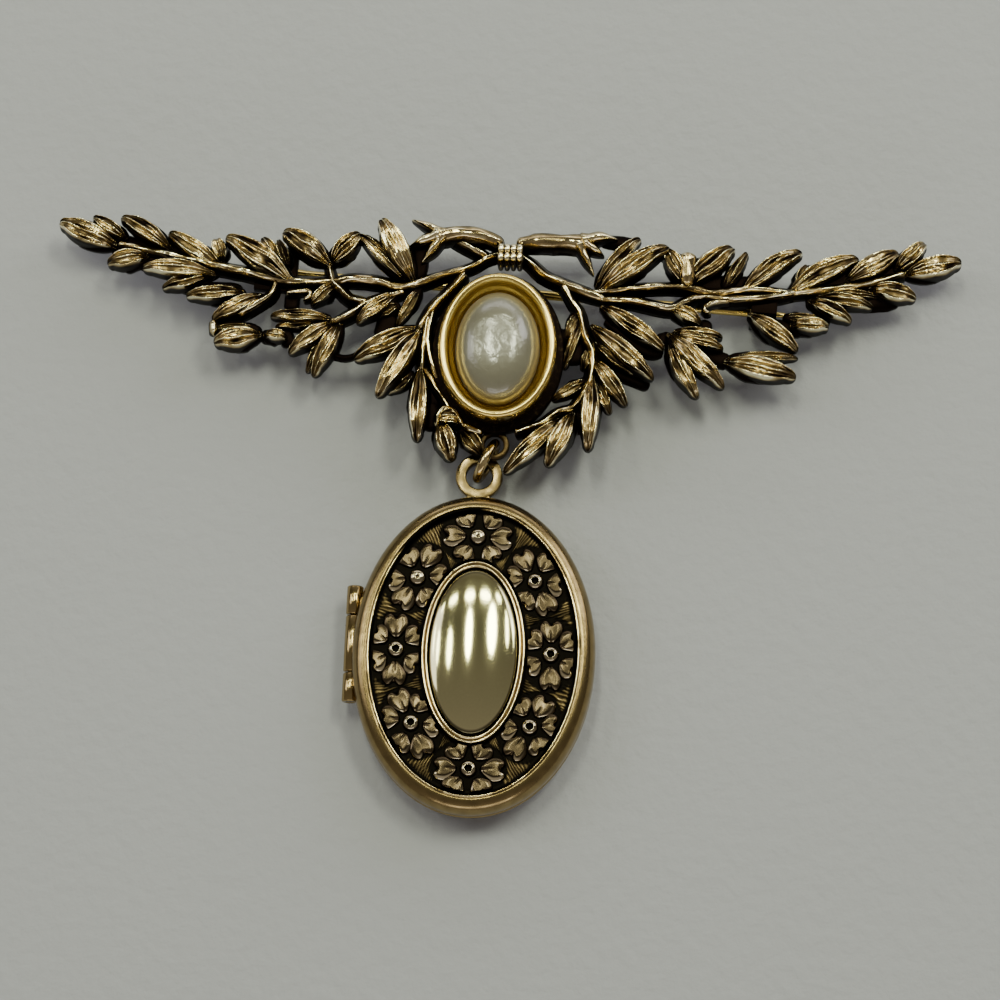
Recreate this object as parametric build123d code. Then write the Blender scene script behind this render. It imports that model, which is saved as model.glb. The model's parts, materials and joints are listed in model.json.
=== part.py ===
"""Locket brooch: a cast laurel spray with an oval pearl, and an oval hinged locket on a jump ring.

Millimetres. X runs along the spray, Y towards its twigs and Z up from the surface that it lies on.
"""
from build123d import *
from collections import namedtuple
from math import atan2, cos, pi, radians, sin
import os

# Spray
half_span = 38.0  # from the stone's centre to a wing's tip
chart_squares = 450  # squares of the leaf chart along that half span
spray_back = 3.6  # height of the spray's back at its middle
wing_bow = 1.2  # how far the wings bend back at their tips
leaf_rise = 1.9  # height of a usual leaf's crest above the back
stem_rise = 1.3
twig_rise = 2.1
web_rise = 0.75

# Stone and its cup
pearl_width = 7.25
pearl_length = 10.0
pearl_rise = 3.1  # from its girdle to its crown
cup_width = 10.4
cup_length = 13.2
cup_height = 2.5
cup_lip = 0.65  # from the cup's outside in to the crest of its rim
cup_floor = 0.5
seat_margin = 0.45  # the seat plate stands out this far round the cup
seat_thickness = 1.0
seat_gap = 0.06
cup_wall = 1.4  # the cup's wall, at its floor
cup_clearance = 0.08

# Wrap over the stems
wrap_width = 2.15
wrap_length = 2.3
wrap_rise = 2.6
wrap_ribs = 4
wrap_x = 0.75
wrap_margin = 0.25  # between the wrap and the seat plate

# Eye, jump ring and bail
eye_hole = 0.8
eye_rim = 0.5
eye_thickness = 0.8
eye_drop = 0.6  # the eye's lower face under the spray's back
ring_wire = 0.8
ring_radius = 1.7
bail_hole = 1.1
bail_rim = 0.9
bail_thickness = 0.8
bail_neck = 2.3
bail_x = -1.2
bail_drop = 2.5  # from the eye's hole to the bail's, along Y
bail_neck_gap = 0.05
bail_sink = 0.05
eye_neck = 1.8
neck_land = 0.15
neck_root = 1.0

# Locket
locket_width = 20.4
locket_length = 27.2
locket_back_height = 2.6
locket_cover_height = 2.3  # from the seam to the ridge of the rim
locket_wall = 0.8
locket_land = 1.1  # breadth of the rims that meet at the seam
locket_x_shift = 0.2
foot_inset = 4.0  # from the locket's outline in to the flat that it rests on
seam_gap = 0.06
rim_width = 1.7
border_width = 4.1
border_drop = 0.45  # the border's floor under the rim's ridge
petal_rise = 0.3
button_radius = 0.73
button_rise = 0.6
button_bore = 0.3
petal_root = 0.2
flower_reach = 3.1  # from a flower's middle along the border, and across it
flower_breadth = 1.95
plaque_ring_width = 0.6
plaque_rise = 1.2

# Locket hinge
knuckle_radius = 0.7
knuckle_row = 9.9
middle_knuckle = 4.9
hinge_wire = 0.6
hinge_play = 0.06
knuckle_gap = 0.12
hinge_shift = 0.7  # the hinge's middle lies this far above the locket's

# Pin
pin_x = -19.3
pin_y = 7.47
pin_turn = -3.0
pin_run = 45.3
pin_wire = 0.8
pin_height = 1.3  # the pin's axis above the surface
pin_eye_radius = 1.05
rivet_radius = 0.4
ear_thickness = 0.7
ear_gap = 1.5
ear_play = 0.12
pin_play = 0.06
pin_point = 4.5
pin_root = 2.4  # the tapered root of the wire, from the rivet's middle
pin_root_wire = 1.1
pin_tip = 0.2
plate_length = 3.6
plate_width = 4.0
plate_thickness = 0.6
plate_overlap = 0.25
plate_side = -0.3
catch_length = 2.2
catch_cheek = 0.6
catch_slot = 1.2
catch_play = 0.35  # between the pin and the roof of the catch

Leaf = namedtuple("Leaf", "base_x base_y tip_x tip_y width bow tier")
Run = namedtuple("Run", "name width route")
RunForm = namedtuple("RunForm", "rise edge low end")
Tier = namedtuple("Tier", "lift rise tip_lift")
Station = namedtuple("Station", "along half crest")

# Low dark leaves, usual leaves and those that lie on top: shares of a usual leaf's rise
TIERS = [Tier(0.0, 0.58, 0.0), Tier(0.0, 1.0, 0.1), Tier(0.18, 1.18, 0.3)]

# A leaf from its stalk to its rounded point: shares of its length, half width and rise
LEAF_FORM = [
    Station(0.0, 0.25, 0.45),
    Station(0.2, 0.66, 0.80),
    Station(0.45, 0.98, 1.0),
    Station(0.65, 0.96, 0.95),
    Station(0.86, 0.62, 0.72),
    Station(1.0, 0.16, 0.40),
]
EDGE_SHARE = 0.45  # of the crest's height, where a leaf's side turns into its top

# The leaves in chart squares from the stone's centre, base to tip, with width and sideways bow
LEAVES = [
    Leaf(-392, 103, -454, 128, 25, 0, 1),
    Leaf(-382, 111, -420, 133, 14, 0, 1),
    Leaf(-336, 100, -391, 134, 19, -2, 1),
    Leaf(-284, 84, -341, 118, 19, 0, 1),
    Leaf(-359, 94, -402, 84, 20, 0, 1),
    Leaf(-290, 75, -364, 77, 18, -1, 2),
    Leaf(-294, 74, -344, 59, 14, 1, 1),
    Leaf(-258, 58, -319, 51, 16, 1, 1),
    Leaf(-240, 56, -291, 27, 17, 0, 1),
    Leaf(-240, 19, -292, 16, 14, 0, 0),
    Leaf(-239, 14, -288, 3, 23, 1, 1),
    Leaf(-239, 13, -213, 9, 12, 0, 1),
    Leaf(-283, 89, -292, 113, 16, 0, 1),
    Leaf(-210, 68, -281, 112, 25, -2, 2),
    Leaf(-225, 88, -245, 117, 16, 0, 0),
    Leaf(-215, 83, -229, 115, 12, 0, 0),
    Leaf(-173, 87, -223, 119, 24, -2, 2),
    Leaf(-175, 89, -144, 122, 22, 0, 1),
    Leaf(-96, 74, -147, 121, 13, 0, 1),
    Leaf(-101, 82, -141, 122, 14, 0, 0),
    Leaf(-88, 73, -124, 135, 25, 0, 2),
    Leaf(-167, 68, -191, 44, 14, 0, 1),
    Leaf(-169, 32, -232, 32, 13, 0, 1),
    Leaf(-179, 28, -227, 22, 11, 0, 0),
    Leaf(-167, 29, -211, -7, 18, 0, 1),
    Leaf(-160, 30, -185, -30, 19, 0, 1),
    Leaf(-176, 15, -192, -25, 11, 0, 0),
    Leaf(-104, 61, -144, 27, 17, 0, 1),
    Leaf(-101, 50, -122, 35, 11, 0, 0),
    Leaf(-81, 70, -103, 26, 12, 0, 0),
    Leaf(-80, 26, -145, -11, 25, 1, 1),
    Leaf(-79, 23, -119, -52, 23, 0, 2),
    Leaf(-84, -20, -111, -44, 14, 2, 0),
    Leaf(-77, -17, -77, -97, 20, 0, 2),
    Leaf(-31, -76, -59, -72, 17, -5, 1),
    Leaf(-55, -73, -42, -116, 22, 0, 2),
    Leaf(-35, -77, -12, -104, 19, 0, 0),
    Leaf(96, 73, 140, 127, 16, 2, 1),
    Leaf(98, 68, 169, 116, 22, 2, 2),
    Leaf(189, 79, 165, 116, 19, 0, 1),
    Leaf(187, 79, 235, 121, 25, 1, 1),
    Leaf(224, 75, 249, 118, 13, 0, 0),
    Leaf(244, 75, 304, 116, 20, 3, 2),
    Leaf(300, 78, 311, 108, 16, 0, 0),
    Leaf(289, 75, 362, 116, 23, 3, 1),
    Leaf(348, 91, 403, 124, 23, 0, 1),
    Leaf(398, 104, 430, 135, 18, 0, 1),
    Leaf(407, 101, 467, 117, 24, 0, 1),
    Leaf(372, 86, 421, 76, 20, 0, 1),
    Leaf(325, 79, 384, 77, 10, 0, 0),
    Leaf(319, 74, 377, 64, 14, 0, 1),
    Leaf(311, 70, 356, 48, 16, 0, 1),
    Leaf(286, 51, 326, 49, 11, 0, 0),
    Leaf(292, 42, 333, 41, 16, 0, 1),
    Leaf(251, 53, 302, 15, 20, 0, 1),
    Leaf(231, 5, 303, 9, 12, 0, 0),
    Leaf(226, 2, 301, -13, 24, 0, 1),
    Leaf(175, 30, 226, 25, 12, 0, 1),
    Leaf(175, 27, 227, 13, 14, 0, 1),
    Leaf(169, 28, 228, -30, 20, 0, 2),
    Leaf(171, 22, 202, -39, 19, -2, 1),
    Leaf(101, 56, 167, 10, 20, 0, 1),
    Leaf(171, 55, 204, 38, 16, 1, 1),
    Leaf(92, 33, 157, -24, 20, 0, 2),
    Leaf(96, 16, 139, -17, 16, 0, 1),
    Leaf(95, 0, 131, -50, 18, 0, 1),
    Leaf(97, -20, 115, -58, 13, 0, 0),
    Leaf(96, -19, 94, -101, 20, 0, 2),
    Leaf(94, 13, 86, -14, 11, 0, 0),
    Leaf(94, -23, 56, -46, 13, 0, 0),
    Leaf(79, -58, 54, -118, 22, 0, 2),
    Leaf(68, -64, 11, -124, 20, 0, 1),
    Leaf(79, 48, 68, 19, 10, 0, 0),
    Leaf(84, 42, 67, -13, 11, 0, 0),
]

# Stems, twigs and webs: height, its share where the side turns into the top, lift from the back as
# a share of the height, and breadth of the ends
STEM_FORM = RunForm(stem_rise, 0.55, 0.0, 0.8)
TWIG_FORM = RunForm(twig_rise, 0.5, 0.15, 0.55)
WEB_FORM = RunForm(web_rise, 0.85, 0.0, 0.8)

# Their routes and widths, in chart squares too
STEMS = [
    Run("left main", 11,
        [(1, 106), (-15, 100), (-32, 90), (-62, 80), (-87, 70), (-107, 67), (-122, 72), (-153,
        74), (-170, 70), (-214, 70), (-255, 78), (-284, 83), (-359, 99), (-392, 106)]),
    Run("left fork to top leaves", 8, [(-175, 88), (-170, 70), (-160, 60), (-152, 53), (-133, 50)]),
    Run("left fork to lower leaves", 9, [(-97, 62), (-133, 50), (-146, 40), (-163, 30), (-171, 29)]),
    Run("left inner", 11, [(-36, 84), (-54, 61), (-65, 49), (-73, 37), (-80, 23)]),
    Run("left inner outer run", 12, [(-72, 37), (-74, 16), (-76, 0), (-76, -21)]),
    Run("left along the cup", 12, [(-67, 43), (-71, 16), (-68, -6), (-60, -29)]),
    Run("left under the cup", 12, [(-73, -18), (-59, -41), (-50, -54), (-32, -76), (-12, -83)]),
    Run("left twig root", 10, [(-13, 101), (-40, 115), (-54, 123)]),
    Run("left small stem", 8, [(-228, 70), (-232, 56), (-247, 44), (-265, 32)]),
    Run("right main", 11, [(10, 109), (29, 97), (44, 84), (66, 75), (91, 66), (106, 61)]),
    Run("right upper", 9,
        [(91, 67), (116, 71), (151, 76), (186, 77), (212, 72), (237, 75), (257, 78), (298,
        76)]),
    Run("right middle", 10, [(101, 61), (136, 60), (172, 54), (186, 61), (200, 67)]),
    Run("right second", 9, [(186, 61), (200, 67), (227, 66), (263, 69), (300, 76)]),
    Run("right end", 9, [(293, 75), (343, 83), (374, 90), (409, 102)]),
    Run("right inner", 11,
        [(63, 75), (74, 56), (81, 46), (87, 22), (95, 4), (94, -23), (80, -52), (62, -60), (46,
        -72), (20, -82)]),
]
TWIGS = [
    Run("left twig", 11, [(1, 114), (-13, 122), (-33, 127), (-53, 125), (-73, 119)]),
    Run("left upper thorn", 6, [(-57, 122), (-93, 138)]),
    Run("left middle thorn", 8, [(-63, 122), (-95, 109)]),
    Run("left lower thorn", 7, [(-59, 121), (-81, 92)]),
    Run("right twig", 12, [(14, 115), (43, 118), (91, 117)]),
    Run("right upper thorn", 9, [(79, 119), (99, 125), (117, 124)]),
    Run("right middle thorn", 7, [(82, 118), (104, 106)]),
    Run("right lower thorn", 7, [(77, 117), (94, 86)]),
    Run("right bud stalk", 12, [(189, 76), (188, 93), (189, 113)]),
]
# The low web that fills between stems and leaves
WEBS = [
    Run("left tip", 30, [(-399, 104), (-359, 97), (-318, 89), (-284, 81)]),
    Run("left hook stub", 20, [(-204, 70), (-202, 38)]),
    Run("left fan", 14, [(-222, 27), (-210, 2)]),
    Run("left fan rim", 5, [(-178, -3), (-154, -8), (-139, -2)]),
    Run("left middle", 18, [(-111, 41), (-118, 13)]),
    Run("left top pocket", 14, [(-84, 121), (-83, 95), (-88, 75)]),
    Run("left bud", 16, [(-237, 104), (-217, 78)]),
    Run("right twig end", 12, [(99, 125), (136, 122)]),
    Run("right bud", 14, [(160, 115), (191, 101)]),
    Run("right tops", 16, [(192, 83), (232, 83), (265, 86)]),
    Run("right end upper", 24, [(303, 85), (354, 95), (410, 107)]),
    Run("right end lower", 18, [(309, 68), (354, 71), (405, 76)]),
    Run("right pair", 14, [(271, 45), (299, 40), (334, 54)]),
    Run("right low joint", 14, [(256, 26), (260, 3)]),
    Run("right fan joint", 14, [(204, 11), (234, 1)]),
    Run("right fan top", 12, [(207, 46), (209, 28)]),
    Run("right broad under", 12, [(108, 43), (143, 13), (167, 9)]),
    Run("right lower under", 10, [(116, -14), (154, -27)]),
    Run("right fan root", 12, [(159, 21), (175, 26)]),
    Run("left low joint", 16, [(-281, 30), (-266, 18)]),
    Run("left tongues", 12, [(-308, 67), (-291, 57), (-270, 41)]),
    Run("left seat arm", 14, [(-80, 23), (0, 22)]),
    Run("right seat arm", 14, [(0, 22), (87, 22)]),
]


def share(value):
    """A length in chart squares, as millimetres."""
    return value * half_span / chart_squares


def back_height(x):
    """Height of the spray's back at x: the wings bow towards the surface."""
    return spray_back - wing_bow * (x / half_span) ** 2


def patch(a, b, c, d):
    """Faces over four corners: one if they lie in a plane, else two."""
    normal = (b - a).cross(c - a)
    if abs(normal.normalized().dot(d - a)) < 1e-7:
        return [Face(Wire.make_polygon([a, b, c, d]))]
    return [Face(Wire.make_polygon([a, b, c])), Face(Wire.make_polygon([a, c, d]))]


def ridge_body(stations):
    """Closed body through stations of (x, y, heading, half width, low, edge and crest heights)."""
    rings = []
    for x, y, heading, half, low, edge, crest in stations:
        side_x = -sin(heading) * half
        side_y = cos(heading) * half
        rings.append([
            Vector(x + side_x, y + side_y, low),
            Vector(x + side_x, y + side_y, edge),
            Vector(x, y, crest),
            Vector(x - side_x, y - side_y, edge),
            Vector(x - side_x, y - side_y, low),
        ])
    faces = [Face(Wire.make_polygon(rings[0])), Face(Wire.make_polygon(rings[-1]))]
    for ring, following in zip(rings, rings[1:]):
        for i in range(len(ring)):
            j = (i + 1) % len(ring)
            faces += patch(ring[i], ring[j], following[j], following[i])
    return Solid(Shell(faces))


def leaf_body(leaf):
    """One leaf, as a keeled tongue on the spray's back."""
    x0, y0 = share(leaf.base_x), share(leaf.base_y)
    x1, y1 = share(leaf.tip_x), share(leaf.tip_y)
    heading = atan2(y1 - y0, x1 - x0)
    half = share(leaf.width) / 2
    tier = TIERS[leaf.tier]
    stations = []
    for station in LEAF_FORM:
        bow = share(leaf.bow) * sin(pi * station.along)
        x = x0 + (x1 - x0) * station.along - sin(heading) * bow
        y = y0 + (y1 - y0) * station.along + cos(heading) * bow
        low = back_height(x) + leaf_rise * (tier.lift + tier.tip_lift * station.along)
        crest = leaf_rise * tier.rise * station.crest
        stations.append((x, y, heading, half * station.half, low, low + crest * EDGE_SHARE, low + crest))
    return ridge_body(stations)


def run_body(run, form):
    """One stem, twig or web along its route, narrower at its ends."""
    points = [(share(x), share(y)) for x, y in run.route]
    half = share(run.width) / 2
    stations = []
    last = len(points) - 1
    for i, (x, y) in enumerate(points):
        before = points[max(i - 1, 0)]
        after = points[min(i + 1, last)]
        heading = atan2(after[1] - before[1], after[0] - before[0])
        end = form.end if i in (0, last) else 1.0
        low = back_height(x) + form.rise * form.low
        height = form.rise * (1 - form.low) * (1 + end) / 2
        stations.append((x, y, heading, half * end, low, low + height * form.edge, low + height))
    return ridge_body(stations)


def oval(half_width, half_length, x, y, z):
    """An oval wire at a height."""
    return Wire([Edge.make_ellipse(half_width, half_length, Plane((x, y, z)))])


def oval_stack(half_width, half_length, x, y, levels):
    """A body through ovals that step in from a named oval, each level being (inset, height)."""
    wires = [oval(half_width - inset, half_length - inset, x, y, z) for inset, z in levels]
    return Solid.make_loft(wires, ruled=True)


def rod(radius, start, end):
    """A round bar between two points."""
    way = Vector(*end) - Vector(*start)
    return Solid.make_cylinder(radius, way.length, Plane(origin=start, z_dir=way))


def block(width, length, height, x, y, z):
    """A box by the middle of its foot."""
    return Solid.make_box(width, length, height, Plane((x - width / 2, y - length / 2, z)))


def joined(bodies):
    """All bodies in one."""
    whole = bodies[0].fuse(*bodies[1:])
    return whole.solid() if len(whole.solids()) == 1 else whole


# Buds: place and radius in chart squares, and height as a share of a leaf's rise
BUDS = [(-238, 111, 5, 0.5), (189, 112, 6, 1.0)]

# The wrap along Y: places as shares of its length, crests as shares of its rise. Its ribs touch, and
# their sides turn in near their crests
WRAP_FORM = [(-0.5, 0.62), (-0.36, 0.98), (-0.08, 1.0), (0.0, 0.9), (0.08, 1.0), (0.36, 0.98), (0.5, 0.62)]
RIB_HALF = 0.52
RIB_EDGE = 0.85

# The cup's outside from its foot over its rim: insets as shares of the lip, heights as shares of the cup's
CUP_FORM = [(0.15, 0.0), (0.0, 0.2), (0.08, 0.55), (0.4, 0.86), (0.8, 0.985), (1.0, 1.0), (1.35, 0.93),
            (1.8, 0.6)]

# The cabochon: insets as shares of its half width, heights as shares of its rise
PEARL_FORM = [(0.02, 0.0), (0.0, 0.18), (0.03, 0.38), (0.11, 0.58), (0.26, 0.77), (0.46, 0.91), (0.72, 0.985),
              (0.9, 1.0)]

# The locket's back from its flat foot to the seam: shares of the foot's inset and of the height
BACK_FORM = [(1.0, 0.0), (0.55, 0.09), (0.22, 0.33), (0.05, 0.63), (0.0, 0.88), (0.04, 1.0)]
BACK_CAVITY = [(0.12, 0.55), (0.45, 0.06), (0.9, 0.0)]

# The cover's hollow under the border and the plaque: insets as shares of the rim's width and of the
# plaque ring's, heights as shares of the wall below the border and of the plaque's rise
HOLLOW_RIM = [(1.0, 1.4), (1.6, 1.0)]
HOLLOW_PLAQUE = (3.0, 0.6)

# The cover's rim from the seam to its crest: shares of the rim's width and of the cover's height
RIM_FORM = [(0.1, 0.0), (0.0, 0.25), (0.03, 0.5), (0.2, 0.77), (0.5, 0.95), (0.72, 1.0), (0.84, 1.0)]

# The plaque from its ring to its crown: shares of the ring's width and of the plaque's rise
PLAQUE_FORM = [(0.1, 0.42), (0.5, 0.5), (0.9, 0.38), (1.1, 0.32), (2.2, 0.68), (3.6, 0.9), (5.2, 1.0)]

# One petal: places as shares of its sixth of a turn, and radii as shares of the flower's reach
PETALS = 6
PETAL_FORM = [(0.0, 0.42), (0.16, 0.84), (0.34, 1.0), (0.5, 0.88), (0.66, 1.0), (0.84, 0.84)]

# The flowers round the border: places as shares of its middle line, and whether the button is bored
FLOWERS = [
    (0.0, 1.0, False), (0.764, 0.627, True), (1.0, 0.0, True), (0.764, -0.627, True),
    (0.0, -1.0, True), (-0.764, -0.627, True), (-1.0, 0.0, True), (-0.764, 0.627, False),
]

seat_half_width = cup_width / 2 + seat_margin
seat_half_length = cup_length / 2 + seat_margin
seat_top = spray_back + seat_thickness
eye_radius = eye_hole + eye_rim
eye_y = -(seat_half_length + eye_hole)
eye_z = spray_back - eye_drop
bail_radius = bail_hole + bail_rim
setting_low = seat_top + seat_gap
locket_x = bail_x + locket_x_shift
bail_y = eye_y - bail_drop
locket_y = bail_y - bail_radius - bail_neck_gap - locket_length / 2
bail_z = locket_back_height - bail_sink - bail_thickness
ring_z = (eye_z + eye_thickness / 2 + bail_z + bail_thickness / 2) / 2
seam = locket_back_height + seam_gap
border_z = seam + locket_cover_height - border_drop
hinge_x = locket_x - locket_width / 2
hinge_y = locket_y + hinge_shift
hinge_z = locket_back_height + seam_gap / 2
middle_half = middle_knuckle / 2
catch_along = pin_run - pin_point / 2 - catch_length / 2


def leaves():
    """Every leaf of both wings."""
    return [leaf_body(leaf) for leaf in LEAVES]


def buds():
    """The round buds among the leaves."""
    made = []
    for x, y, radius, rise in BUDS:
        z = back_height(share(x)) + leaf_rise * rise
        made.append(Solid.make_sphere(share(radius), Plane((share(x), share(y), z))))
    return made


def wrap():
    """The ribbed band that ties the stems above the cup."""
    pitch = wrap_width / wrap_ribs
    y = seat_half_length + wrap_margin + wrap_length / 2
    ribs = []
    for i in range(wrap_ribs):
        x = wrap_x + pitch * (i + 0.5 - wrap_ribs / 2)
        stations = []
        for along, crest in WRAP_FORM:
            low = back_height(x)
            height = wrap_rise * crest
            place = y + along * wrap_length
            stations.append((x, place, pi / 2, pitch * RIB_HALF, low, low + height * RIB_EDGE, low + height))
        ribs.append(ridge_body(stations))
    return ribs


def eye():
    """The cast eye below the seat, with its neck, and the hole through it."""
    ring = Solid.make_cylinder(eye_radius, eye_thickness, Plane((0, eye_y, eye_z)))
    neck_start = eye_y + eye_hole + neck_land
    neck_end = -seat_half_length + neck_root
    neck_middle = (neck_start + neck_end) / 2
    neck_height = spray_back + seat_thickness / 2 - eye_z
    neck = block(eye_neck, neck_end - neck_start, neck_height, 0, neck_middle, eye_z)
    hole = Solid.make_cylinder(eye_hole, eye_thickness * 3, Plane((0, eye_y, eye_z - eye_thickness)))
    return [ring, neck], hole


def pin_frame(along, side=0.0, z=0.0):
    """A point given along the pin, beside it and above the surface."""
    turn = radians(pin_turn)
    x = pin_x + along * cos(turn) - side * sin(turn)
    y = pin_y + along * sin(turn) + side * cos(turn)
    return (x, y, z)


def pin_block(length, width, low, high, along, side=0.0):
    """A box in line with the pin."""
    corner = pin_frame(along - length / 2, side - width / 2, low)
    way = Vector(*pin_frame(1)) - Vector(*pin_frame(0))
    return Solid.make_box(length, width, high - low, Plane(origin=corner, x_dir=way, z_dir=(0, 0, 1)))


def pin_hinge():
    """Two ears and their rivet, on a plate soldered under the left wing."""
    plate_low = back_height(pin_x) - plate_thickness
    plate_top = back_height(pin_x) + plate_overlap
    bodies = [pin_block(plate_length, plate_width, plate_low, plate_top, 0, plate_side)]
    for hand in (-1, 1):
        side = hand * (ear_gap + ear_thickness) / 2
        bodies.append(pin_block(pin_height * 2, ear_thickness, pin_height, plate_top, 0, side))
        inner = side - ear_thickness / 2
        bodies.append(rod(pin_height, pin_frame(0, inner, pin_height),
                          pin_frame(0, inner + ear_thickness, pin_height)))
    half_row = ear_gap / 2 + ear_thickness / 2
    bodies.append(rod(rivet_radius, pin_frame(0, -half_row, pin_height), pin_frame(0, half_row, pin_height)))
    return bodies


def catch():
    """The saddle soldered under the right wing, open towards the surface."""
    width = catch_slot + 2 * catch_cheek
    x = pin_frame(catch_along)[0]
    body = pin_block(catch_length, width, 0, back_height(x) + plate_overlap * 2, catch_along)
    slot_top = pin_height + pin_wire / 2 + catch_play
    return body - pin_block(catch_length * 2, catch_slot, -1, slot_top, catch_along)


def leaf_spray():
    """The whole casting, with what is soldered to it."""
    eye_bodies, eye_cut = eye()
    plate = oval_stack(seat_half_width, seat_half_length, 0, 0, [(0, spray_back), (0, seat_top)])
    bodies = [plate] + leaves() + buds() + wrap() + eye_bodies + pin_hinge() + [catch()]
    for runs, form in ((STEMS, STEM_FORM), (TWIGS, TWIG_FORM), (WEBS, WEB_FORM)):
        bodies += [run_body(run, form) for run in runs]
    cup_room = oval_stack(cup_width / 2, cup_length / 2, 0, 0,
                          [(-cup_clearance, seat_top), (-cup_clearance, seat_top + leaf_rise * 4)])
    return joined(bodies) - cup_room - eye_cut


def pearl_setting():
    """The cup: an outside that leans in, a rounded rim and a sunk floor."""
    levels = [(cup_lip * inset, setting_low + cup_height * rise) for inset, rise in CUP_FORM]
    levels.append((cup_wall, setting_low + cup_floor))
    return oval_stack(cup_width / 2, cup_length / 2, 0, 0, levels)


def pearl():
    """The oval cabochon."""
    low = setting_low + cup_floor + seat_gap
    levels = [(pearl_width / 2 * inset, low + pearl_rise * rise) for inset, rise in PEARL_FORM]
    return oval_stack(pearl_width / 2, pearl_length / 2, 0, 0, levels)


def jump_ring():
    """The round ring that stands through the eye and the bail."""
    centre = Vector(bail_x / 2, (eye_y + bail_y) / 2, ring_z)
    across = Vector(bail_x, bail_y - eye_y, 0)
    plane = Plane(origin=centre, x_dir=across, z_dir=across.cross(Vector(0, 0, 1)))
    return Solid.make_torus(ring_radius, ring_wire / 2, plane)


def knuckle(radius, start, end):
    """A barrel on the locket's hinge line, between two places along it."""
    return rod(radius, (hinge_x, hinge_y + start, hinge_z), (hinge_x, hinge_y + end, hinge_z))


def locket_shell(outer, cavity):
    """A hollow half of the locket."""
    half_width = locket_width / 2
    half_length = locket_length / 2
    body = oval_stack(half_width, half_length, locket_x, locket_y, outer)
    return body - oval_stack(half_width, half_length, locket_x, locket_y, cavity)


def locket_back():
    """The lower half, with the bail and the two outer knuckles."""
    outer = [(foot_inset * inset, locket_back_height * rise) for inset, rise in BACK_FORM]
    cavity = [(locket_land, locket_back_height + seam_gap), (locket_land, locket_back_height)]
    depth = locket_back_height - locket_wall
    cavity += [(locket_land + foot_inset * inset, locket_wall + depth * rise) for inset, rise in BACK_CAVITY]
    body = locket_shell(outer, cavity)
    bail = Solid.make_cylinder(bail_radius, bail_thickness, Plane((bail_x, bail_y, bail_z)))
    neck_length = bail_radius - bail_hole / 2 + bail_neck_gap
    neck = block(bail_neck, neck_length, bail_thickness, bail_x, bail_y - bail_hole - neck_length / 2, bail_z)
    hole_foot = Plane((bail_x, bail_y, bail_z - bail_thickness))
    hole = Solid.make_cylinder(bail_hole, bail_thickness * 3, hole_foot)
    body = body - knuckle(knuckle_radius + knuckle_gap, -middle_half - knuckle_gap, middle_half + knuckle_gap)
    outer_knuckles = [
        knuckle(knuckle_radius, middle_half + knuckle_gap / 2, knuckle_row / 2),
        knuckle(knuckle_radius, -knuckle_row / 2, -middle_half - knuckle_gap / 2),
    ]
    body = body.fuse(bail, neck, *outer_knuckles) - hole
    return body - knuckle(hinge_wire / 2 + hinge_play / 2, -knuckle_row, knuckle_row)


def flower(x, y, heading):
    """A six-petalled flower, raised on the border and drawn out along it, and its button."""
    points = []
    for petal in range(PETALS):
        for angle, radius in PETAL_FORM:
            way = 2 * pi * (petal + angle - 0.5) / PETALS
            along = flower_reach * radius * cos(way)
            side = flower_breadth * radius * sin(way)
            points.append(Vector(x + along * cos(heading) - side * sin(heading),
                                 y + along * sin(heading) + side * cos(heading), border_z - petal_root))
    petals = Solid.extrude(Face(Wire.make_polygon(points)), Vector(0, 0, petal_root + petal_rise))
    root = Plane((x, y, border_z - petal_root))
    button = Solid.make_cylinder(button_radius, petal_root + button_rise, root)
    return petals, button


def locket_cover():
    """The upper half: rolled rim, border of flowers, domed plaque and the middle knuckle."""
    outer = [(rim_width * inset, seam + locket_cover_height * rise) for inset, rise in RIM_FORM]
    outer += [(rim_width, border_z), (rim_width + border_width, border_z)]
    ring_outer = rim_width + border_width
    outer += [(ring_outer + plaque_ring_width * inset, border_z + plaque_rise * rise)
              for inset, rise in PLAQUE_FORM]
    cavity = [(locket_land, seam - seam_gap), (locket_land, seam)]
    cavity += [(rim_width * inset, border_z - locket_wall * depth) for inset, depth in HOLLOW_RIM]
    inset, rise = HOLLOW_PLAQUE
    cavity += [(ring_outer, border_z - locket_wall),
               (ring_outer + plaque_ring_width * inset, border_z + plaque_rise * rise - locket_wall)]
    body = locket_shell(outer, cavity)
    body = body - knuckle(knuckle_radius + knuckle_gap, -knuckle_row, -middle_half)
    body = body - knuckle(knuckle_radius + knuckle_gap, middle_half, knuckle_row)
    reach_x = locket_width / 2 - rim_width - border_width / 2
    reach_y = locket_length / 2 - rim_width - border_width / 2
    added = [knuckle(knuckle_radius, -middle_half + knuckle_gap / 2, middle_half - knuckle_gap / 2)]
    for share_x, share_y, _ in FLOWERS:
        heading = atan2(share_x * reach_y, -share_y * reach_x)
        added += flower(locket_x + share_x * reach_x, locket_y + share_y * reach_y, heading)
    body = body.fuse(*added)
    for share_x, share_y, bored in FLOWERS:
        if bored:
            place = (locket_x + share_x * reach_x, locket_y + share_y * reach_y, border_z + petal_rise)
            body = body - Solid.make_cylinder(button_bore, button_rise, Plane(place))
    return body - knuckle(hinge_wire / 2 + hinge_play, -knuckle_row, knuckle_row)


def locket_hinge_pin():
    """The wire through the knuckles."""
    return knuckle(hinge_wire / 2, -knuckle_row / 2, knuckle_row / 2)


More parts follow.
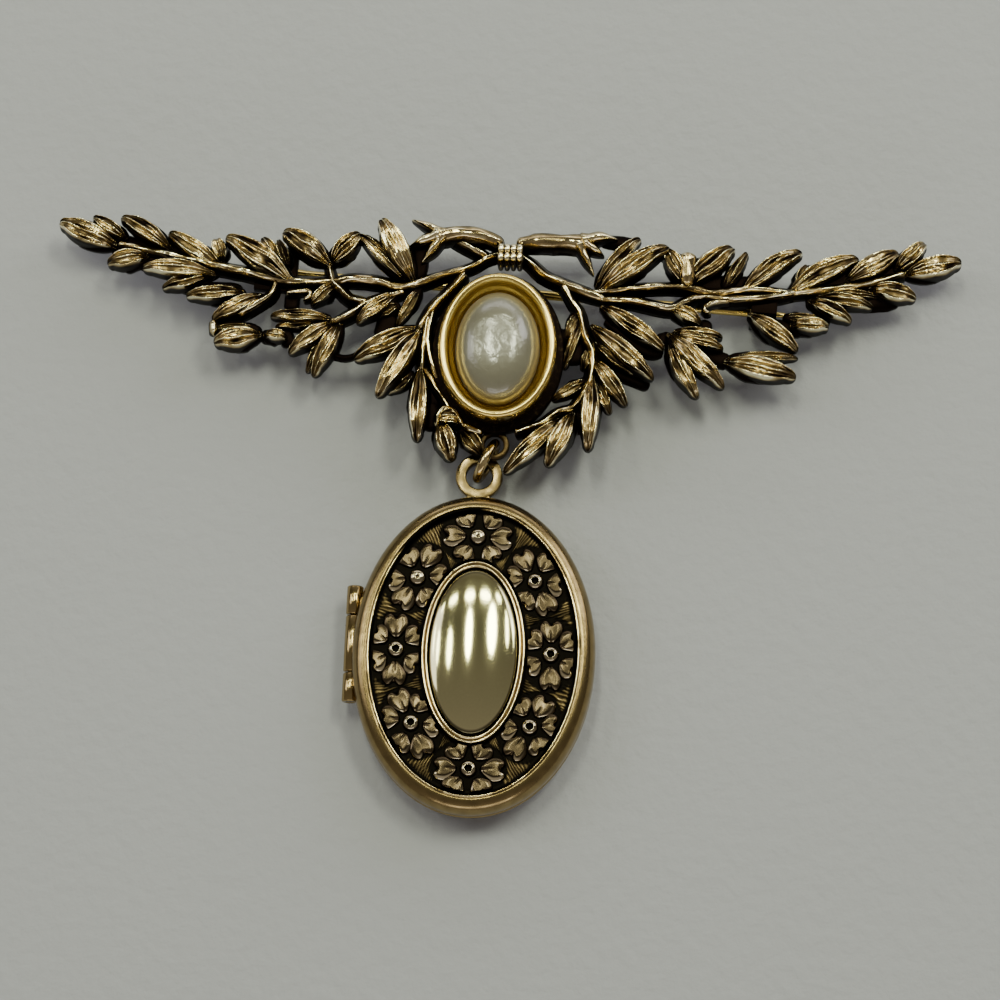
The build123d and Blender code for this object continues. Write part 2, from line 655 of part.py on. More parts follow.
def pin_stem():
    """The pin: an eye on the rivet, a wire and a point."""
    half = ear_gap / 2 - ear_play
    start = pin_frame(0, -half, pin_height)
    pin_eye = rod(pin_eye_radius, start, pin_frame(0, half, pin_height))
    root_start = pin_frame(rivet_radius + pin_play * 2, 0, pin_height)
    wire_start = pin_frame(pin_root, 0, pin_height)
    wire_end = pin_frame(pin_run - pin_point, 0, pin_height)
    way = Vector(*pin_frame(1)) - Vector(*pin_frame(0))
    root_length = pin_root - rivet_radius - pin_play * 2
    root = Solid.make_cone(pin_root_wire / 2, pin_wire / 2, root_length, Plane(origin=root_start, z_dir=way))
    wire = rod(pin_wire / 2, wire_start, wire_end)
    point = Solid.make_cone(pin_wire / 2, pin_tip / 2, pin_point, Plane(origin=wire_end, z_dir=way))
    bore = rod(rivet_radius + pin_play, pin_frame(0, -ear_gap, pin_height), pin_frame(0, ear_gap, pin_height))
    return pin_eye.fuse(root, wire, point) - bore


MAKERS = [leaf_spray, pearl_setting, pearl, jump_ring, locket_back, locket_cover, locket_hinge_pin, pin_stem]

os.makedirs("parts", exist_ok=True)
made = {maker.__name__: maker() for maker in MAKERS}
boxes = [body.bounding_box() for body in made.values()]
low = [min(corner) for corner in zip(*(tuple(box.min) for box in boxes))]
high = [max(corner) for corner in zip(*(tuple(box.max) for box in boxes))]
origin = Vector((low[0] + high[0]) / 2, (low[1] + high[1]) / 2, low[2])
for name, body in made.items():
    export_step(body.moved(Location(-origin)), "parts/" + name + ".step")
print("origin", origin)
print("locket hinge at", Vector(hinge_x, hinge_y, hinge_z) - origin)
print("pin hinge at", Vector(*pin_frame(0, 0, pin_height)) - origin, "turned", pin_turn)
pin_middle = (pin_root + pin_run - pin_point) / 2
print("pin wire's middle at", Vector(*pin_frame(pin_middle, 0, pin_height)) - origin,
      "length", pin_run - pin_point - pin_root)
print("locket foot at", Vector(locket_x, locket_y, 0) - origin)
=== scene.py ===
"""Locket brooch: a cast laurel spray with an oval imitation pearl, and a hinged locket on a jump ring."""
import json
import logging
import math
import random
from collections.abc import Callable, Iterable, Sequence
from dataclasses import dataclass, field
from enum import Enum
from typing import NamedTuple

import bmesh
import bpy
from mathutils import Matrix, Vector, noise

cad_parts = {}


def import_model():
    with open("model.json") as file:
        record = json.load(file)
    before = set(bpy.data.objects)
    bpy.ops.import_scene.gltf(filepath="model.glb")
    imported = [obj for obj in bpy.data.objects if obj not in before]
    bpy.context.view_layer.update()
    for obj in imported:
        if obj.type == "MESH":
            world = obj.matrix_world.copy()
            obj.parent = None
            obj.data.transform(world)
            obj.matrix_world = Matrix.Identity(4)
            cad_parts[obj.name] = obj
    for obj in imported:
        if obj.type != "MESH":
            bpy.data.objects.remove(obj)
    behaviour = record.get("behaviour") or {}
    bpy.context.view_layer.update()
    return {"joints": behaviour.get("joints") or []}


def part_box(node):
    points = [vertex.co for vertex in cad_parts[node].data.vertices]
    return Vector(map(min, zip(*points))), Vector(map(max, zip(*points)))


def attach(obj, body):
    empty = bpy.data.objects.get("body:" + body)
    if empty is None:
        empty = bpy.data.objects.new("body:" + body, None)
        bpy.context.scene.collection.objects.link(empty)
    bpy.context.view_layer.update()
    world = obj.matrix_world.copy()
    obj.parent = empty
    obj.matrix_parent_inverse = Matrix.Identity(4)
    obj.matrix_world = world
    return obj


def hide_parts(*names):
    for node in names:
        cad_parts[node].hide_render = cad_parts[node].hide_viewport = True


log = logging.getLogger("locket_brooch")

MM = 0.001
# The patina attribute: the metal's own patina and wear, on some pieces painted shade and highlight, and on
# the pearl a painted reflection of the cup.
PATINA_AND_PAINTED_LIGHT = "patina"
UNPLACED = -9.0

Colour = tuple[float, float, float]


class Tier(Enum):
    """How high a leaf lies in the casting."""

    LOW = 0
    USUAL = 1
    TOP = 2


class Wing(Enum):
    """The two halves of the spray."""

    LEFT = "left"
    RIGHT = "right"


class LeafRow(NamedTuple):
    """A leaf in chart squares: base, tip, breadth and sideways bow, and its tier."""

    base_x: float
    base_y: float
    tip_x: float
    tip_y: float
    width: float
    bow: float
    tier: Tier


class RunRow(NamedTuple):
    """A stem, twig or web: its name, breadth and route in chart squares."""

    name: str
    width: float
    route: Sequence[tuple[float, float]]


LEAVES = (
    LeafRow(-392, 103, -454, 128, 25, 0, Tier.USUAL),
    LeafRow(-382, 111, -420, 133, 14, 0, Tier.USUAL),
    LeafRow(-336, 100, -391, 134, 19, -2, Tier.USUAL),
    LeafRow(-284, 84, -341, 118, 19, 0, Tier.USUAL),
    LeafRow(-359, 94, -402, 84, 20, 0, Tier.USUAL),
    LeafRow(-290, 75, -364, 77, 18, -1, Tier.TOP),
    LeafRow(-294, 74, -344, 59, 14, 1, Tier.USUAL),
    LeafRow(-258, 58, -319, 51, 16, 1, Tier.USUAL),
    LeafRow(-240, 56, -291, 27, 17, 0, Tier.USUAL),
    LeafRow(-240, 19, -292, 16, 14, 0, Tier.LOW),
    LeafRow(-239, 14, -288, 3, 23, 1, Tier.USUAL),
    LeafRow(-239, 13, -213, 9, 12, 0, Tier.USUAL),
    LeafRow(-283, 89, -292, 113, 16, 0, Tier.USUAL),
    LeafRow(-210, 68, -281, 112, 25, -2, Tier.TOP),
    LeafRow(-225, 88, -245, 117, 16, 0, Tier.LOW),
    LeafRow(-215, 83, -229, 115, 12, 0, Tier.LOW),
    LeafRow(-173, 87, -223, 119, 24, -2, Tier.TOP),
    LeafRow(-175, 89, -144, 122, 22, 0, Tier.USUAL),
    LeafRow(-96, 74, -147, 121, 13, 0, Tier.USUAL),
    LeafRow(-101, 82, -141, 122, 14, 0, Tier.LOW),
    LeafRow(-88, 73, -124, 135, 25, 0, Tier.TOP),
    LeafRow(-167, 68, -191, 44, 14, 0, Tier.USUAL),
    LeafRow(-169, 32, -232, 32, 13, 0, Tier.USUAL),
    LeafRow(-179, 28, -227, 22, 11, 0, Tier.LOW),
    LeafRow(-167, 29, -211, -7, 18, 0, Tier.USUAL),
    LeafRow(-160, 30, -185, -30, 19, 0, Tier.USUAL),
    LeafRow(-176, 15, -192, -25, 11, 0, Tier.LOW),
    LeafRow(-104, 61, -144, 27, 17, 0, Tier.USUAL),
    LeafRow(-101, 50, -122, 35, 11, 0, Tier.LOW),
    LeafRow(-81, 70, -103, 26, 12, 0, Tier.LOW),
    LeafRow(-80, 26, -145, -11, 25, 1, Tier.USUAL),
    LeafRow(-79, 23, -119, -52, 23, 0, Tier.TOP),
    LeafRow(-84, -20, -111, -44, 14, 2, Tier.LOW),
    LeafRow(-77, -17, -77, -97, 20, 0, Tier.TOP),
    LeafRow(-31, -76, -59, -72, 17, -5, Tier.USUAL),
    LeafRow(-55, -73, -42, -116, 22, 0, Tier.TOP),
    LeafRow(-35, -77, -12, -104, 19, 0, Tier.LOW),
    LeafRow(96, 73, 140, 127, 16, 2, Tier.USUAL),
    LeafRow(98, 68, 169, 116, 22, 2, Tier.TOP),
    LeafRow(189, 79, 165, 116, 19, 0, Tier.USUAL),
    LeafRow(187, 79, 235, 121, 25, 1, Tier.USUAL),
    LeafRow(224, 75, 249, 118, 13, 0, Tier.LOW),
    LeafRow(244, 75, 304, 116, 20, 3, Tier.TOP),
    LeafRow(300, 78, 311, 108, 16, 0, Tier.LOW),
    LeafRow(289, 75, 362, 116, 23, 3, Tier.USUAL),
    LeafRow(348, 91, 403, 124, 23, 0, Tier.USUAL),
    LeafRow(398, 104, 430, 135, 18, 0, Tier.USUAL),
    LeafRow(407, 101, 467, 117, 24, 0, Tier.USUAL),
    LeafRow(372, 86, 421, 76, 20, 0, Tier.USUAL),
    LeafRow(325, 79, 384, 77, 10, 0, Tier.LOW),
    LeafRow(319, 74, 377, 64, 14, 0, Tier.USUAL),
    LeafRow(311, 70, 356, 48, 16, 0, Tier.USUAL),
    LeafRow(286, 51, 326, 49, 11, 0, Tier.LOW),
    LeafRow(292, 42, 333, 41, 16, 0, Tier.USUAL),
    LeafRow(251, 53, 302, 15, 20, 0, Tier.USUAL),
    LeafRow(231, 5, 303, 9, 12, 0, Tier.LOW),
    LeafRow(226, 2, 301, -13, 24, 0, Tier.USUAL),
    LeafRow(175, 30, 226, 25, 12, 0, Tier.USUAL),
    LeafRow(175, 27, 227, 13, 14, 0, Tier.USUAL),
    LeafRow(169, 28, 228, -30, 20, 0, Tier.TOP),
    LeafRow(171, 22, 202, -39, 19, -2, Tier.USUAL),
    LeafRow(101, 56, 167, 10, 20, 0, Tier.USUAL),
    LeafRow(171, 55, 204, 38, 16, 1, Tier.USUAL),
    LeafRow(92, 33, 157, -24, 20, 0, Tier.TOP),
    LeafRow(96, 16, 139, -17, 16, 0, Tier.USUAL),
    LeafRow(95, 0, 131, -50, 18, 0, Tier.USUAL),
    LeafRow(97, -20, 115, -58, 13, 0, Tier.LOW),
    LeafRow(96, -19, 94, -101, 20, 0, Tier.TOP),
    LeafRow(94, 13, 86, -14, 11, 0, Tier.LOW),
    LeafRow(94, -23, 56, -46, 13, 0, Tier.LOW),
    LeafRow(79, -58, 54, -118, 22, 0, Tier.TOP),
    LeafRow(68, -64, 11, -124, 20, 0, Tier.USUAL),
    LeafRow(79, 48, 68, 19, 10, 0, Tier.LOW),
    LeafRow(84, 42, 67, -13, 11, 0, Tier.LOW),
)

STEMS = (
    RunRow("left main", 11, ((1, 106), (-15, 100), (-32, 90), (-62, 80), (-87, 70), (-107, 67),
        (-122, 72), (-153, 74), (-170, 70), (-214, 70), (-255, 78), (-284, 83), (-359, 99), (-392, 106))),
    RunRow("left fork to top leaves", 8, ((-175, 88), (-170, 70), (-160, 60), (-152, 53), (-133, 50))),
    RunRow("left fork to lower leaves", 9, ((-97, 62), (-133, 50), (-146, 40), (-163, 30), (-171, 29))),
    RunRow("left inner", 11, ((-36, 84), (-54, 61), (-65, 49), (-73, 37), (-80, 23))),
    RunRow("left inner outer run", 8, ((-72, 37), (-74, 16), (-76, 0), (-76, -21))),
    RunRow("left along the cup", 6, ((-67, 43), (-71, 16), (-68, -6), (-60, -29))),
    RunRow("left under the cup", 8, ((-73, -18), (-59, -41), (-50, -54), (-32, -76), (-12, -83))),
    RunRow("left twig root", 10, ((-13, 101), (-40, 115), (-54, 123))),
    RunRow("left small stem", 8, ((-228, 70), (-232, 56), (-247, 44), (-265, 32))),
    RunRow("right main", 11, ((10, 109), (29, 97), (44, 84), (66, 75), (91, 66), (106, 61))),
    RunRow("right upper", 9, ((91, 67), (116, 71), (151, 76), (186, 77), (212, 72), (237, 75),
        (257, 78), (298, 76))),
    RunRow("right middle", 10, ((101, 61), (136, 60), (172, 54), (186, 61), (200, 67))),
    RunRow("right second", 9, ((186, 61), (200, 67), (227, 66), (263, 69), (300, 76))),
    RunRow("right end", 9, ((293, 75), (343, 83), (374, 90), (409, 102))),
    RunRow("right inner", 9, ((63, 75), (74, 56), (81, 46), (87, 22), (95, 4), (94, -23), (80, -52),
        (62, -60), (46, -72), (20, -82))),
)

TWIGS = (
    RunRow("left twig", 11, ((1, 113), (-13, 119), (-33, 123), (-53, 122), (-73, 117))),
    RunRow("left upper thorn", 6, ((-57, 122), (-93, 138))),
    RunRow("left middle thorn", 8, ((-63, 122), (-95, 109))),
    RunRow("left lower thorn", 7, ((-59, 121), (-81, 92))),
    RunRow("right twig", 12, ((14, 115), (43, 118), (91, 117))),
    RunRow("right upper thorn", 9, ((79, 119), (99, 125), (117, 124))),
    RunRow("right middle thorn", 7, ((82, 118), (104, 106))),
    RunRow("right lower thorn", 7, ((77, 117), (94, 86))),
    RunRow("right bud stalk", 12, ((189, 76), (188, 93), (189, 113))),
)

WEBS = (
    RunRow("left tip", 30, ((-399, 104), (-359, 97), (-318, 89), (-284, 81))),
    RunRow("left fan bed", 14, ((-338, 68), (-300, 62), (-262, 60))),
    RunRow("low left bed", 16, ((-288, 19), (-258, 21))),
    RunRow("low left link", 12, ((-242, 13), (-222, 12))),
    RunRow("left hook stub", 12, ((-210, 68), (-212, 40))),
    RunRow("left fan", 14, ((-222, 27), (-210, 2))),
    RunRow("left fan rim", 5, ((-178, -3), (-154, -8), (-139, -2))),
    RunRow("left middle", 18, ((-111, 41), (-118, 13))),
    RunRow("left top pocket", 14, ((-84, 121), (-83, 95), (-88, 75))),
    RunRow("left bud", 16, ((-237, 104), (-217, 78))),
    RunRow("right twig end", 12, ((99, 125), (136, 122))),
    RunRow("right bud", 14, ((160, 115), (191, 101))),
    RunRow("right tops", 16, ((192, 83), (232, 83), (265, 86))),
    RunRow("right end upper", 24, ((303, 85), (354, 95), (410, 107))),
    RunRow("right end lower", 18, ((309, 68), (354, 71), (405, 76))),
    RunRow("right pair", 14, ((271, 45), (299, 40), (334, 54))),
    RunRow("right low joint", 14, ((261, 12), (262, 2))),
    RunRow("right fan joint", 14, ((204, 11), (234, 1))),
    RunRow("right fan top", 12, ((207, 46), (209, 28))),
    RunRow("right broad under", 12, ((108, 43), (143, 13), (167, 9))),
    RunRow("right lower under", 10, ((116, -14), (154, -27))),
    RunRow("right fan root", 12, ((159, 21), (175, 26))),
    RunRow("left low joint", 16, ((-281, 30), (-266, 18))),
    RunRow("left tongues", 12, ((-308, 67), (-291, 57), (-270, 41))),
    RunRow("left cup bed", 20, ((-64, 26), (-68, -20), (-56, -56))),
    RunRow("left low pocket", 14, ((-66, -50), (-63, -82))),
    RunRow("right cup bed", 18, ((75, 32), (77, -8))),
    RunRow("right low pocket", 12, ((84, -52), (85, -80))),
    RunRow("left seat arm", 14, ((-80, 23), (0, 22))),
    RunRow("right seat arm", 14, ((0, 22), (87, 22))),
)

# Small tendrils and a folded leaf that curl over the stems
CURLS = (
    RunRow("left tendril", 5, ((-217, 55), (-203, 57), (-194, 58), (-192, 53), (-199, 48))),
    RunRow("right tendril", 5, ((232, 62), (216, 60), (207, 55), (208, 50), (214, 50))),
    RunRow("low left knob", 8, ((-289, 26), (-288, 10))),
    RunRow("folded leaf", 7, ((-31, -79), (-40, -65), (-50, -61), (-57, -68), (-58, -79))),
)


class FlowerRow(NamedTuple):
    """A flower of the border: its place as shares of the border's middle line, and whether it is bored."""

    x: float
    y: float
    bored: bool


FLOWERS = (
    FlowerRow(0.0, 1.0, False), FlowerRow(0.764, 0.627, True), FlowerRow(1.0, 0.0, True),
    FlowerRow(0.764, -0.627, True), FlowerRow(0.0, -1.0, True), FlowerRow(-0.764, -0.627, True),
    FlowerRow(-1.0, 0.0, True), FlowerRow(-0.764, 0.627, False),
)


def blend_between(value: float, low: float, high: float) -> float:
    """Smooth step of a value between two limits.

    Args:
        value: the value to judge.
        low: where the step starts.
        high: where it ends.

    Returns:
        0 below low, 1 above high, and a smooth rise between.
    """
    share = min(max((value - low) / (high - low), 0.0), 1.0)
    return share * share * (3 - 2 * share)


class Route:
    """A smooth line through a few points, in plan."""

    def __init__(self, points: Sequence[tuple[float, float]]) -> None:
        """Keeps the points and the lengths between them."""
        self.points = [Vector(point) for point in points]
        self.lengths = [(b - a).length for a, b in zip(self.points, self.points[1:])]
        self.total = sum(self.lengths)

    def place(self, along: float) -> Vector:
        """The point at a share of the length.

        Args:
            along: share from 0 to 1.

        Returns:
            The point, in plan.
        """
        way = min(max(along, 0.0), 1.0) * self.total
        index = 0
        while index < len(self.lengths) - 1 and way > self.lengths[index]:
            way -= self.lengths[index]
            index += 1
        share = min(way / self.lengths[index], 1.0)
        before = self.points[max(index - 1, 0)]
        a, b = self.points[index], self.points[index + 1]
        after = self.points[min(index + 2, len(self.points) - 1)]
        square, cube = share * share, share ** 3
        return 0.5 * (2 * a + (b - before) * share + (2 * before - 5 * a + 4 * b - after) * square
                      + (3 * a - before - 3 * b + after) * cube)

    def side(self, along: float) -> Vector:
        """The unit vector to the left of the line at a share of its length."""
        step = 0.01
        way = self.place(min(along + step, 1.0)) - self.place(max(along - step, 0.0))
        way.normalize()
        return Vector((-way.y, way.x))


def set_inputs(node: bpy.types.Node, **values: float | tuple[float, ...]) -> bpy.types.Node:
    """Sets a node's own inputs.

    Args:
        node: the node.
        values: what each input gets, by its name with underscores for spaces.

    Returns:
        The node.
    """
    for name, value in values.items():
        node.inputs[name.replace("_", " ")].default_value = value
    return node


def roughen(material: bpy.types.Material, grain: bpy.types.Node, depth: float,
            strength: float) -> bpy.types.Node:
    """Lets a noise lift and sink a material's surface.

    Args:
        material: the material, whose shader gets the bumps.
        grain: the noise.
        depth: of the bumps.
        strength: of the bumps, up to 1.

    Returns:
        The bump node.
    """
    nodes, links = material.node_tree.nodes, material.node_tree.links
    bump = set_inputs(nodes.new("ShaderNodeBump"), Strength=strength, Distance=depth)
    links.new(grain.outputs["Fac"], bump.inputs["Height"])
    links.new(bump.outputs["Normal"], nodes["Principled BSDF"].inputs["Normal"])
    return bump


@dataclass(frozen=True)
class MetalFinish:
    """A gilt metal that is darkened where its patina attribute is low.

    Attributes:
        name: the material's name.
        dark: colour of the deepest hollows.
        brown: colour of patina half rubbed away.
        gold: colour of the metal.
        crest: colour where wear has polished it, and of the painted highlights that some pieces carry.
        roughness: gloss of the polished metal.
        dull: roughness of the dark hollows.
        grain: size of the cast texture, in waves per metre.
        bump: depth of the cast texture.
        stain: how much the colour wanders.
        steps: patina at which the four colours stand.
        gloss_steps: patina between which the hollows' roughness turns into the crests' gloss.
        detail: layers of ever finer grain.
        tooth: weight of a finer layer against the one before.
    """

    name: str
    dark: Colour
    brown: Colour
    gold: Colour
    crest: Colour
    roughness: float
    dull: float
    grain: float
    bump: float
    stain: float
    steps: tuple[float, float, float, float] = (0.12, 0.34, 0.62, 0.95)
    gloss_steps: tuple[float, float] = (0.25, 0.6)
    detail: float = 3.0
    tooth: float = 0.65

    def build(self) -> bpy.types.Material:
        """Makes the material.

        Returns:
            A node material that reads the patina attribute and Object coordinates.
        """
        material = bpy.data.materials.new(self.name)
        material.use_nodes = True
        nodes, links = material.node_tree.nodes, material.node_tree.links
        shader = nodes["Principled BSDF"]
        shader.inputs["Metallic"].default_value = 1.0
        attribute = nodes.new("ShaderNodeAttribute")
        attribute.attribute_name = PATINA_AND_PAINTED_LIGHT
        grain = set_inputs(nodes.new("ShaderNodeTexNoise"), Scale=self.grain, Detail=self.detail,
                           Roughness=self.tooth)
        links.new(nodes.new("ShaderNodeTexCoord").outputs["Object"], grain.inputs["Vector"])
        centred = nodes.new("ShaderNodeMath")
        centred.operation = "SUBTRACT"
        centred.inputs[1].default_value = 0.5
        links.new(grain.outputs["Fac"], centred.inputs[0])
        wear_and_shade = nodes.new("ShaderNodeMath")
        wear_and_shade.operation = "MULTIPLY_ADD"
        wear_and_shade.inputs[1].default_value = self.stain
        links.new(centred.outputs[0], wear_and_shade.inputs[0])
        links.new(attribute.outputs["Fac"], wear_and_shade.inputs[2])
        self._colour(material, wear_and_shade, shader.inputs["Base Color"])
        gloss = set_inputs(nodes.new("ShaderNodeMapRange"), From_Min=self.gloss_steps[0],
                           From_Max=self.gloss_steps[1], To_Min=self.dull, To_Max=self.roughness)
        links.new(wear_and_shade.outputs[0], gloss.inputs["Value"])
        links.new(gloss.outputs["Result"], shader.inputs["Roughness"])
        roughen(material, grain, self.bump, 1.0)
        return material

    def _colour(self, material: bpy.types.Material, wear_and_shade: bpy.types.Node,
                target: bpy.types.NodeSocket) -> None:
        """Leads the patina to a socket through the four colours."""
        ramp = material.node_tree.nodes.new("ShaderNodeValToRGB")
        stops = ramp.color_ramp.elements
        dark, brown, gold, crest = self.steps
        stops[0].position, stops[0].color = dark, (*self.dark, 1.0)
        stops[1].position, stops[1].color = crest, (*self.crest, 1.0)
        stops.new(brown).color = (*self.brown, 1.0)
        stops.new(gold).color = (*self.gold, 1.0)
        material.node_tree.links.new(wear_and_shade.outputs[0], ramp.inputs["Fac"])
        material.node_tree.links.new(ramp.outputs["Color"], target)


ANTIQUED = MetalFinish(
    "antiqued_gilt", dark=(0.005, 0.003, 0.0025), brown=(0.09, 0.06, 0.027), gold=(0.49, 0.375, 0.19),
    crest=(1.0, 0.92, 0.62), roughness=0.09, dull=0.5, grain=2600.0, bump=0.009 * MM, stain=0.3)
BRIGHT = MetalFinish(
    "bright_gilt", dark=(0.08, 0.045, 0.006), brown=(0.3, 0.19, 0.04), gold=(0.52, 0.37, 0.095),
    crest=(0.8, 0.61, 0.2), roughness=0.2, dull=0.3, grain=900.0, bump=0.004 * MM, stain=0.04)
POLISHED = MetalFinish(
    "locket_gilt", dark=(0.003, 0.0025, 0.002), brown=(0.1, 0.07, 0.032), gold=(0.37, 0.27, 0.122),
    crest=(0.95, 0.78, 0.44), roughness=0.13, dull=0.42, grain=1400.0, bump=0.004 * MM, stain=0.1)
STAMPED = MetalFinish(
    "stamped_gilt", dark=(0.003, 0.0025, 0.002), brown=(0.05, 0.036, 0.021), gold=(0.105, 0.079, 0.048),
    crest=(0.95, 0.82, 0.56), roughness=0.12, dull=0.45, grain=1400.0, bump=0.004 * MM, stain=0.1)
MIRROR = MetalFinish(
    "plaque_gilt", dark=(0.1, 0.09, 0.05), brown=(0.35, 0.31, 0.18), gold=(0.55, 0.48, 0.29),
    crest=(0.87, 0.82, 0.46), roughness=0.085, dull=0.2, grain=5200.0, bump=0.0012 * MM, stain=0.1)


class Mould:
    """A mesh under way: bmesh shapes with a patina value at each vertex, dressed and handed to the frame."""

    def __init__(self) -> None:
        """Starts an empty mesh with its patina layer."""
        self.bm = bmesh.new()
        self.layer = self.bm.verts.layers.float.new(PATINA_AND_PAINTED_LIGHT)
        self.balls: dict[tuple[int, int], bpy.types.Mesh] = {}

    def blank(self, around: int, along: int) -> bpy.types.Mesh:
        """A ball along the X axis, made once for each density.

        Args:
            around: segments round the axis.
            along: segments between the poles.

        Returns:
            Its mesh, with a patina attribute.
        """
        if (around, along) not in self.balls:
            bm = bmesh.new()
            layer = bm.verts.layers.float.new(PATINA_AND_PAINTED_LIGHT)
            turned = Matrix.Rotation(math.pi / 2, 4, "Y")
            bmesh.ops.create_uvsphere(bm, u_segments=around, v_segments=along, radius=1.0, matrix=turned)
            for vert in bm.verts:
                vert[layer] = UNPLACED
            mesh = bpy.data.meshes.new(f"ball_{around}_{along}")
            bm.to_mesh(mesh)
            bm.free()
            self.balls[around, along] = mesh
        return self.balls[around, along]

    def ball(self, around: int, along: int, place: Callable[[float, float], tuple[Vector, float]]) -> None:
        """Adds a ball drawn out along its X axis.

        Args:
            around: segments round the axis.
            along: segments between the poles.
            place: gives a vertex its place and patina from its share of the length and its turn in radians,
                which is 0 to pi over the top.
        """
        self.bm.from_mesh(self.blank(around, along))
        for vert in [vert for vert in self.bm.verts if vert[self.layer] == UNPLACED]:
            turn = math.atan2(vert.co.z, vert.co.y) if abs(vert.co.x) < 0.99999 else math.pi / 2
            vert.co, vert[self.layer] = place((1 + vert.co.x) / 2, turn)

    def skin(self, around: int, levels: int, place: Callable[[float, float], tuple[Vector, float]]) -> None:
        """Adds a grid wrapped round an upright axis.

        Args:
            around: segments round the axis.
            levels: segments from the first level to the last.
            place: gives a vertex its place and patina from its turn in radians and its level's share.
        """
        made = bmesh.ops.create_grid(self.bm, x_segments=around, y_segments=levels, size=1.0)
        for vert in made["verts"]:
            turn = (vert.co.x + 1) * math.pi
            vert.co, vert[self.layer] = place(turn, (vert.co.y + 1) / 2)
        bmesh.ops.remove_doubles(self.bm, verts=made["verts"], dist=0.001 * MM)

    def barrel(self, middle: Vector, axes: Matrix, bore: float, outer: float, ends: tuple[float, float],
               around: int, patina: float) -> None:
        """Adds a bored barrel with softened edges.

        Args:
            middle: where its axis is measured from.
            axes: turns its own directions, of which the third is its axis, into the frame's.
            bore: radius of its hole.
            outer: its own radius.
            ends: where it starts and ends along its axis.
            around: segments round it.
            patina: value for all of it.
        """
        soft = 0.1 * MM
        start, end = ends
        profile = ((bore, start), (outer - soft, start), (outer, start + soft), (outer, end - soft),
                   (outer - soft, end), (bore, end), (bore, start))

        def lay(turn: float, share: float) -> tuple[Vector, float]:
            """Lays a vertex on the barrel."""
            reach, along = profile[round(share * (len(profile) - 1))]
            return middle + axes @ Vector((reach * math.cos(turn), reach * math.sin(turn), along)), patina

        self.skin(around, len(profile) - 1, lay)

    def plate(self, corners: Sequence[Vector], rise: float, bevel: float, patina: float) -> None:
        """Adds a plate over an outline.

        Args:
            corners: its outline, in order.
            rise: its thickness, upwards.
            bevel: radius of its edges.
            patina: value for all of it.
        """
        verts = [self.bm.verts.new(corner) for corner in corners]
        face = self.bm.faces.new(verts)
        lifted = bmesh.ops.extrude_face_region(self.bm, geom=[face])["geom"]
        tops = [item for item in lifted if isinstance(item, bmesh.types.BMVert)]
        bmesh.ops.translate(self.bm, verts=tops, vec=(0, 0, rise))
        edges = list({edge for vert in verts + tops for edge in vert.link_edges
                      if edge.calc_face_angle(0) > 0.6})
        bmesh.ops.bevel(self.bm, geom=edges, offset=bevel, offset_type="OFFSET", segments=2, profile=0.5,
                        affect="EDGES", material=-1)
        for vert in self.bm.verts:
            if vert[self.layer] == 0:
                vert[self.layer] = patina

    def flat_ring(self, centre: Vector, hole: float, rim: float, thick: float, square: float,
                  segments: tuple[int, int], patina: tuple[float, float, float]) -> None:
        """Adds a flat ring with squared edges.

        Args:
            centre: its middle.
            hole: radius of its hole.
            rim: its breadth.
            thick: its thickness.
            square: how round its section is: the less, the squarer.
            segments: round the ring and round its section.
            patina: value of its foot, and what its top and its unevenness add.
        """
        foot, top, lumps = patina

        def lay(turn: float, share: float) -> tuple[Vector, float]:
            """Lays a vertex on the ring."""
            girth = share * math.tau
            across = math.copysign(abs(math.cos(girth)) ** square, math.cos(girth))
            upright = math.copysign(abs(math.sin(girth)) ** square, math.sin(girth))
            reach = hole + rim / 2 * (1 + across)
            lump = noise.noise(Vector((math.cos(turn), math.sin(turn), across)) * 2.2)
            off = Vector((reach * math.cos(turn), reach * math.sin(turn), thick / 2 * upright))
            return centre + off, foot + top * max(upright, 0) + lumps * lump

        self.skin(*segments, lay)

    def rod(self, radius: float, start: Vector, end: Vector, last: float | None = None, bevel: float = 0.2,
            patina: float = 0.8) -> None:
        """Adds a round bar with softened ends.

        Args:
            radius: its radius.
            start: middle of its first end.
            end: middle of its last end.
            last: radius at the last end, if it tapers.
            bevel: softness of its ends, as a share of the radius.
            patina: value for all of it.
        """
        way = end - start
        place = Matrix.Translation((start + end) / 2) @ way.to_track_quat("Z", "Y").to_matrix().to_4x4()
        made = bmesh.ops.create_cone(self.bm, cap_ends=True, segments=40, radius1=radius,
                                     radius2=radius if last is None else last, depth=way.length,
                                     matrix=place)
        rims = {edge for vert in made["verts"] for edge in vert.link_edges
                if any(len(face.verts) > 4 for face in edge.link_faces)}
        softened = bmesh.ops.bevel(self.bm, geom=list(rims), offset=bevel * min(radius, last or radius),
                                   offset_type="OFFSET", segments=3, profile=0.5, affect="EDGES",
                                   material=-1)
        for vert in made["verts"] + softened["verts"]:
            if vert.is_valid:
                vert[self.layer] = patina

    def finish(self, name: str, body: str, material: bpy.types.Material,
               nodes: Iterable[str]) -> None:
        """Turns the mesh into a piece of the scene.

        Args:
            name: the piece's name.
            body: the CAD body that carries it.
            material: its finish.
            nodes: the CAD nodes that it stands for.
        """
        bmesh.ops.recalc_face_normals(self.bm, faces=self.bm.faces)
        mesh = bpy.data.meshes.new(name)
        for face in self.bm.faces:
            face.smooth = True
        self.bm.to_mesh(mesh)
        for blank in self.balls.values():
            bpy.data.meshes.remove(blank)
        triangles = sum(len(face.verts) - 2 for face in self.bm.faces)
        self.bm.free()
        mesh.materials.append(material)
        piece = bpy.data.objects.new(name, mesh)
        bpy.context.scene.collection.objects.link(piece)
        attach(piece, body)
        for node in nodes:
            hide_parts(node)
        log.info("%s: %d triangles on %s", name, triangles, body)


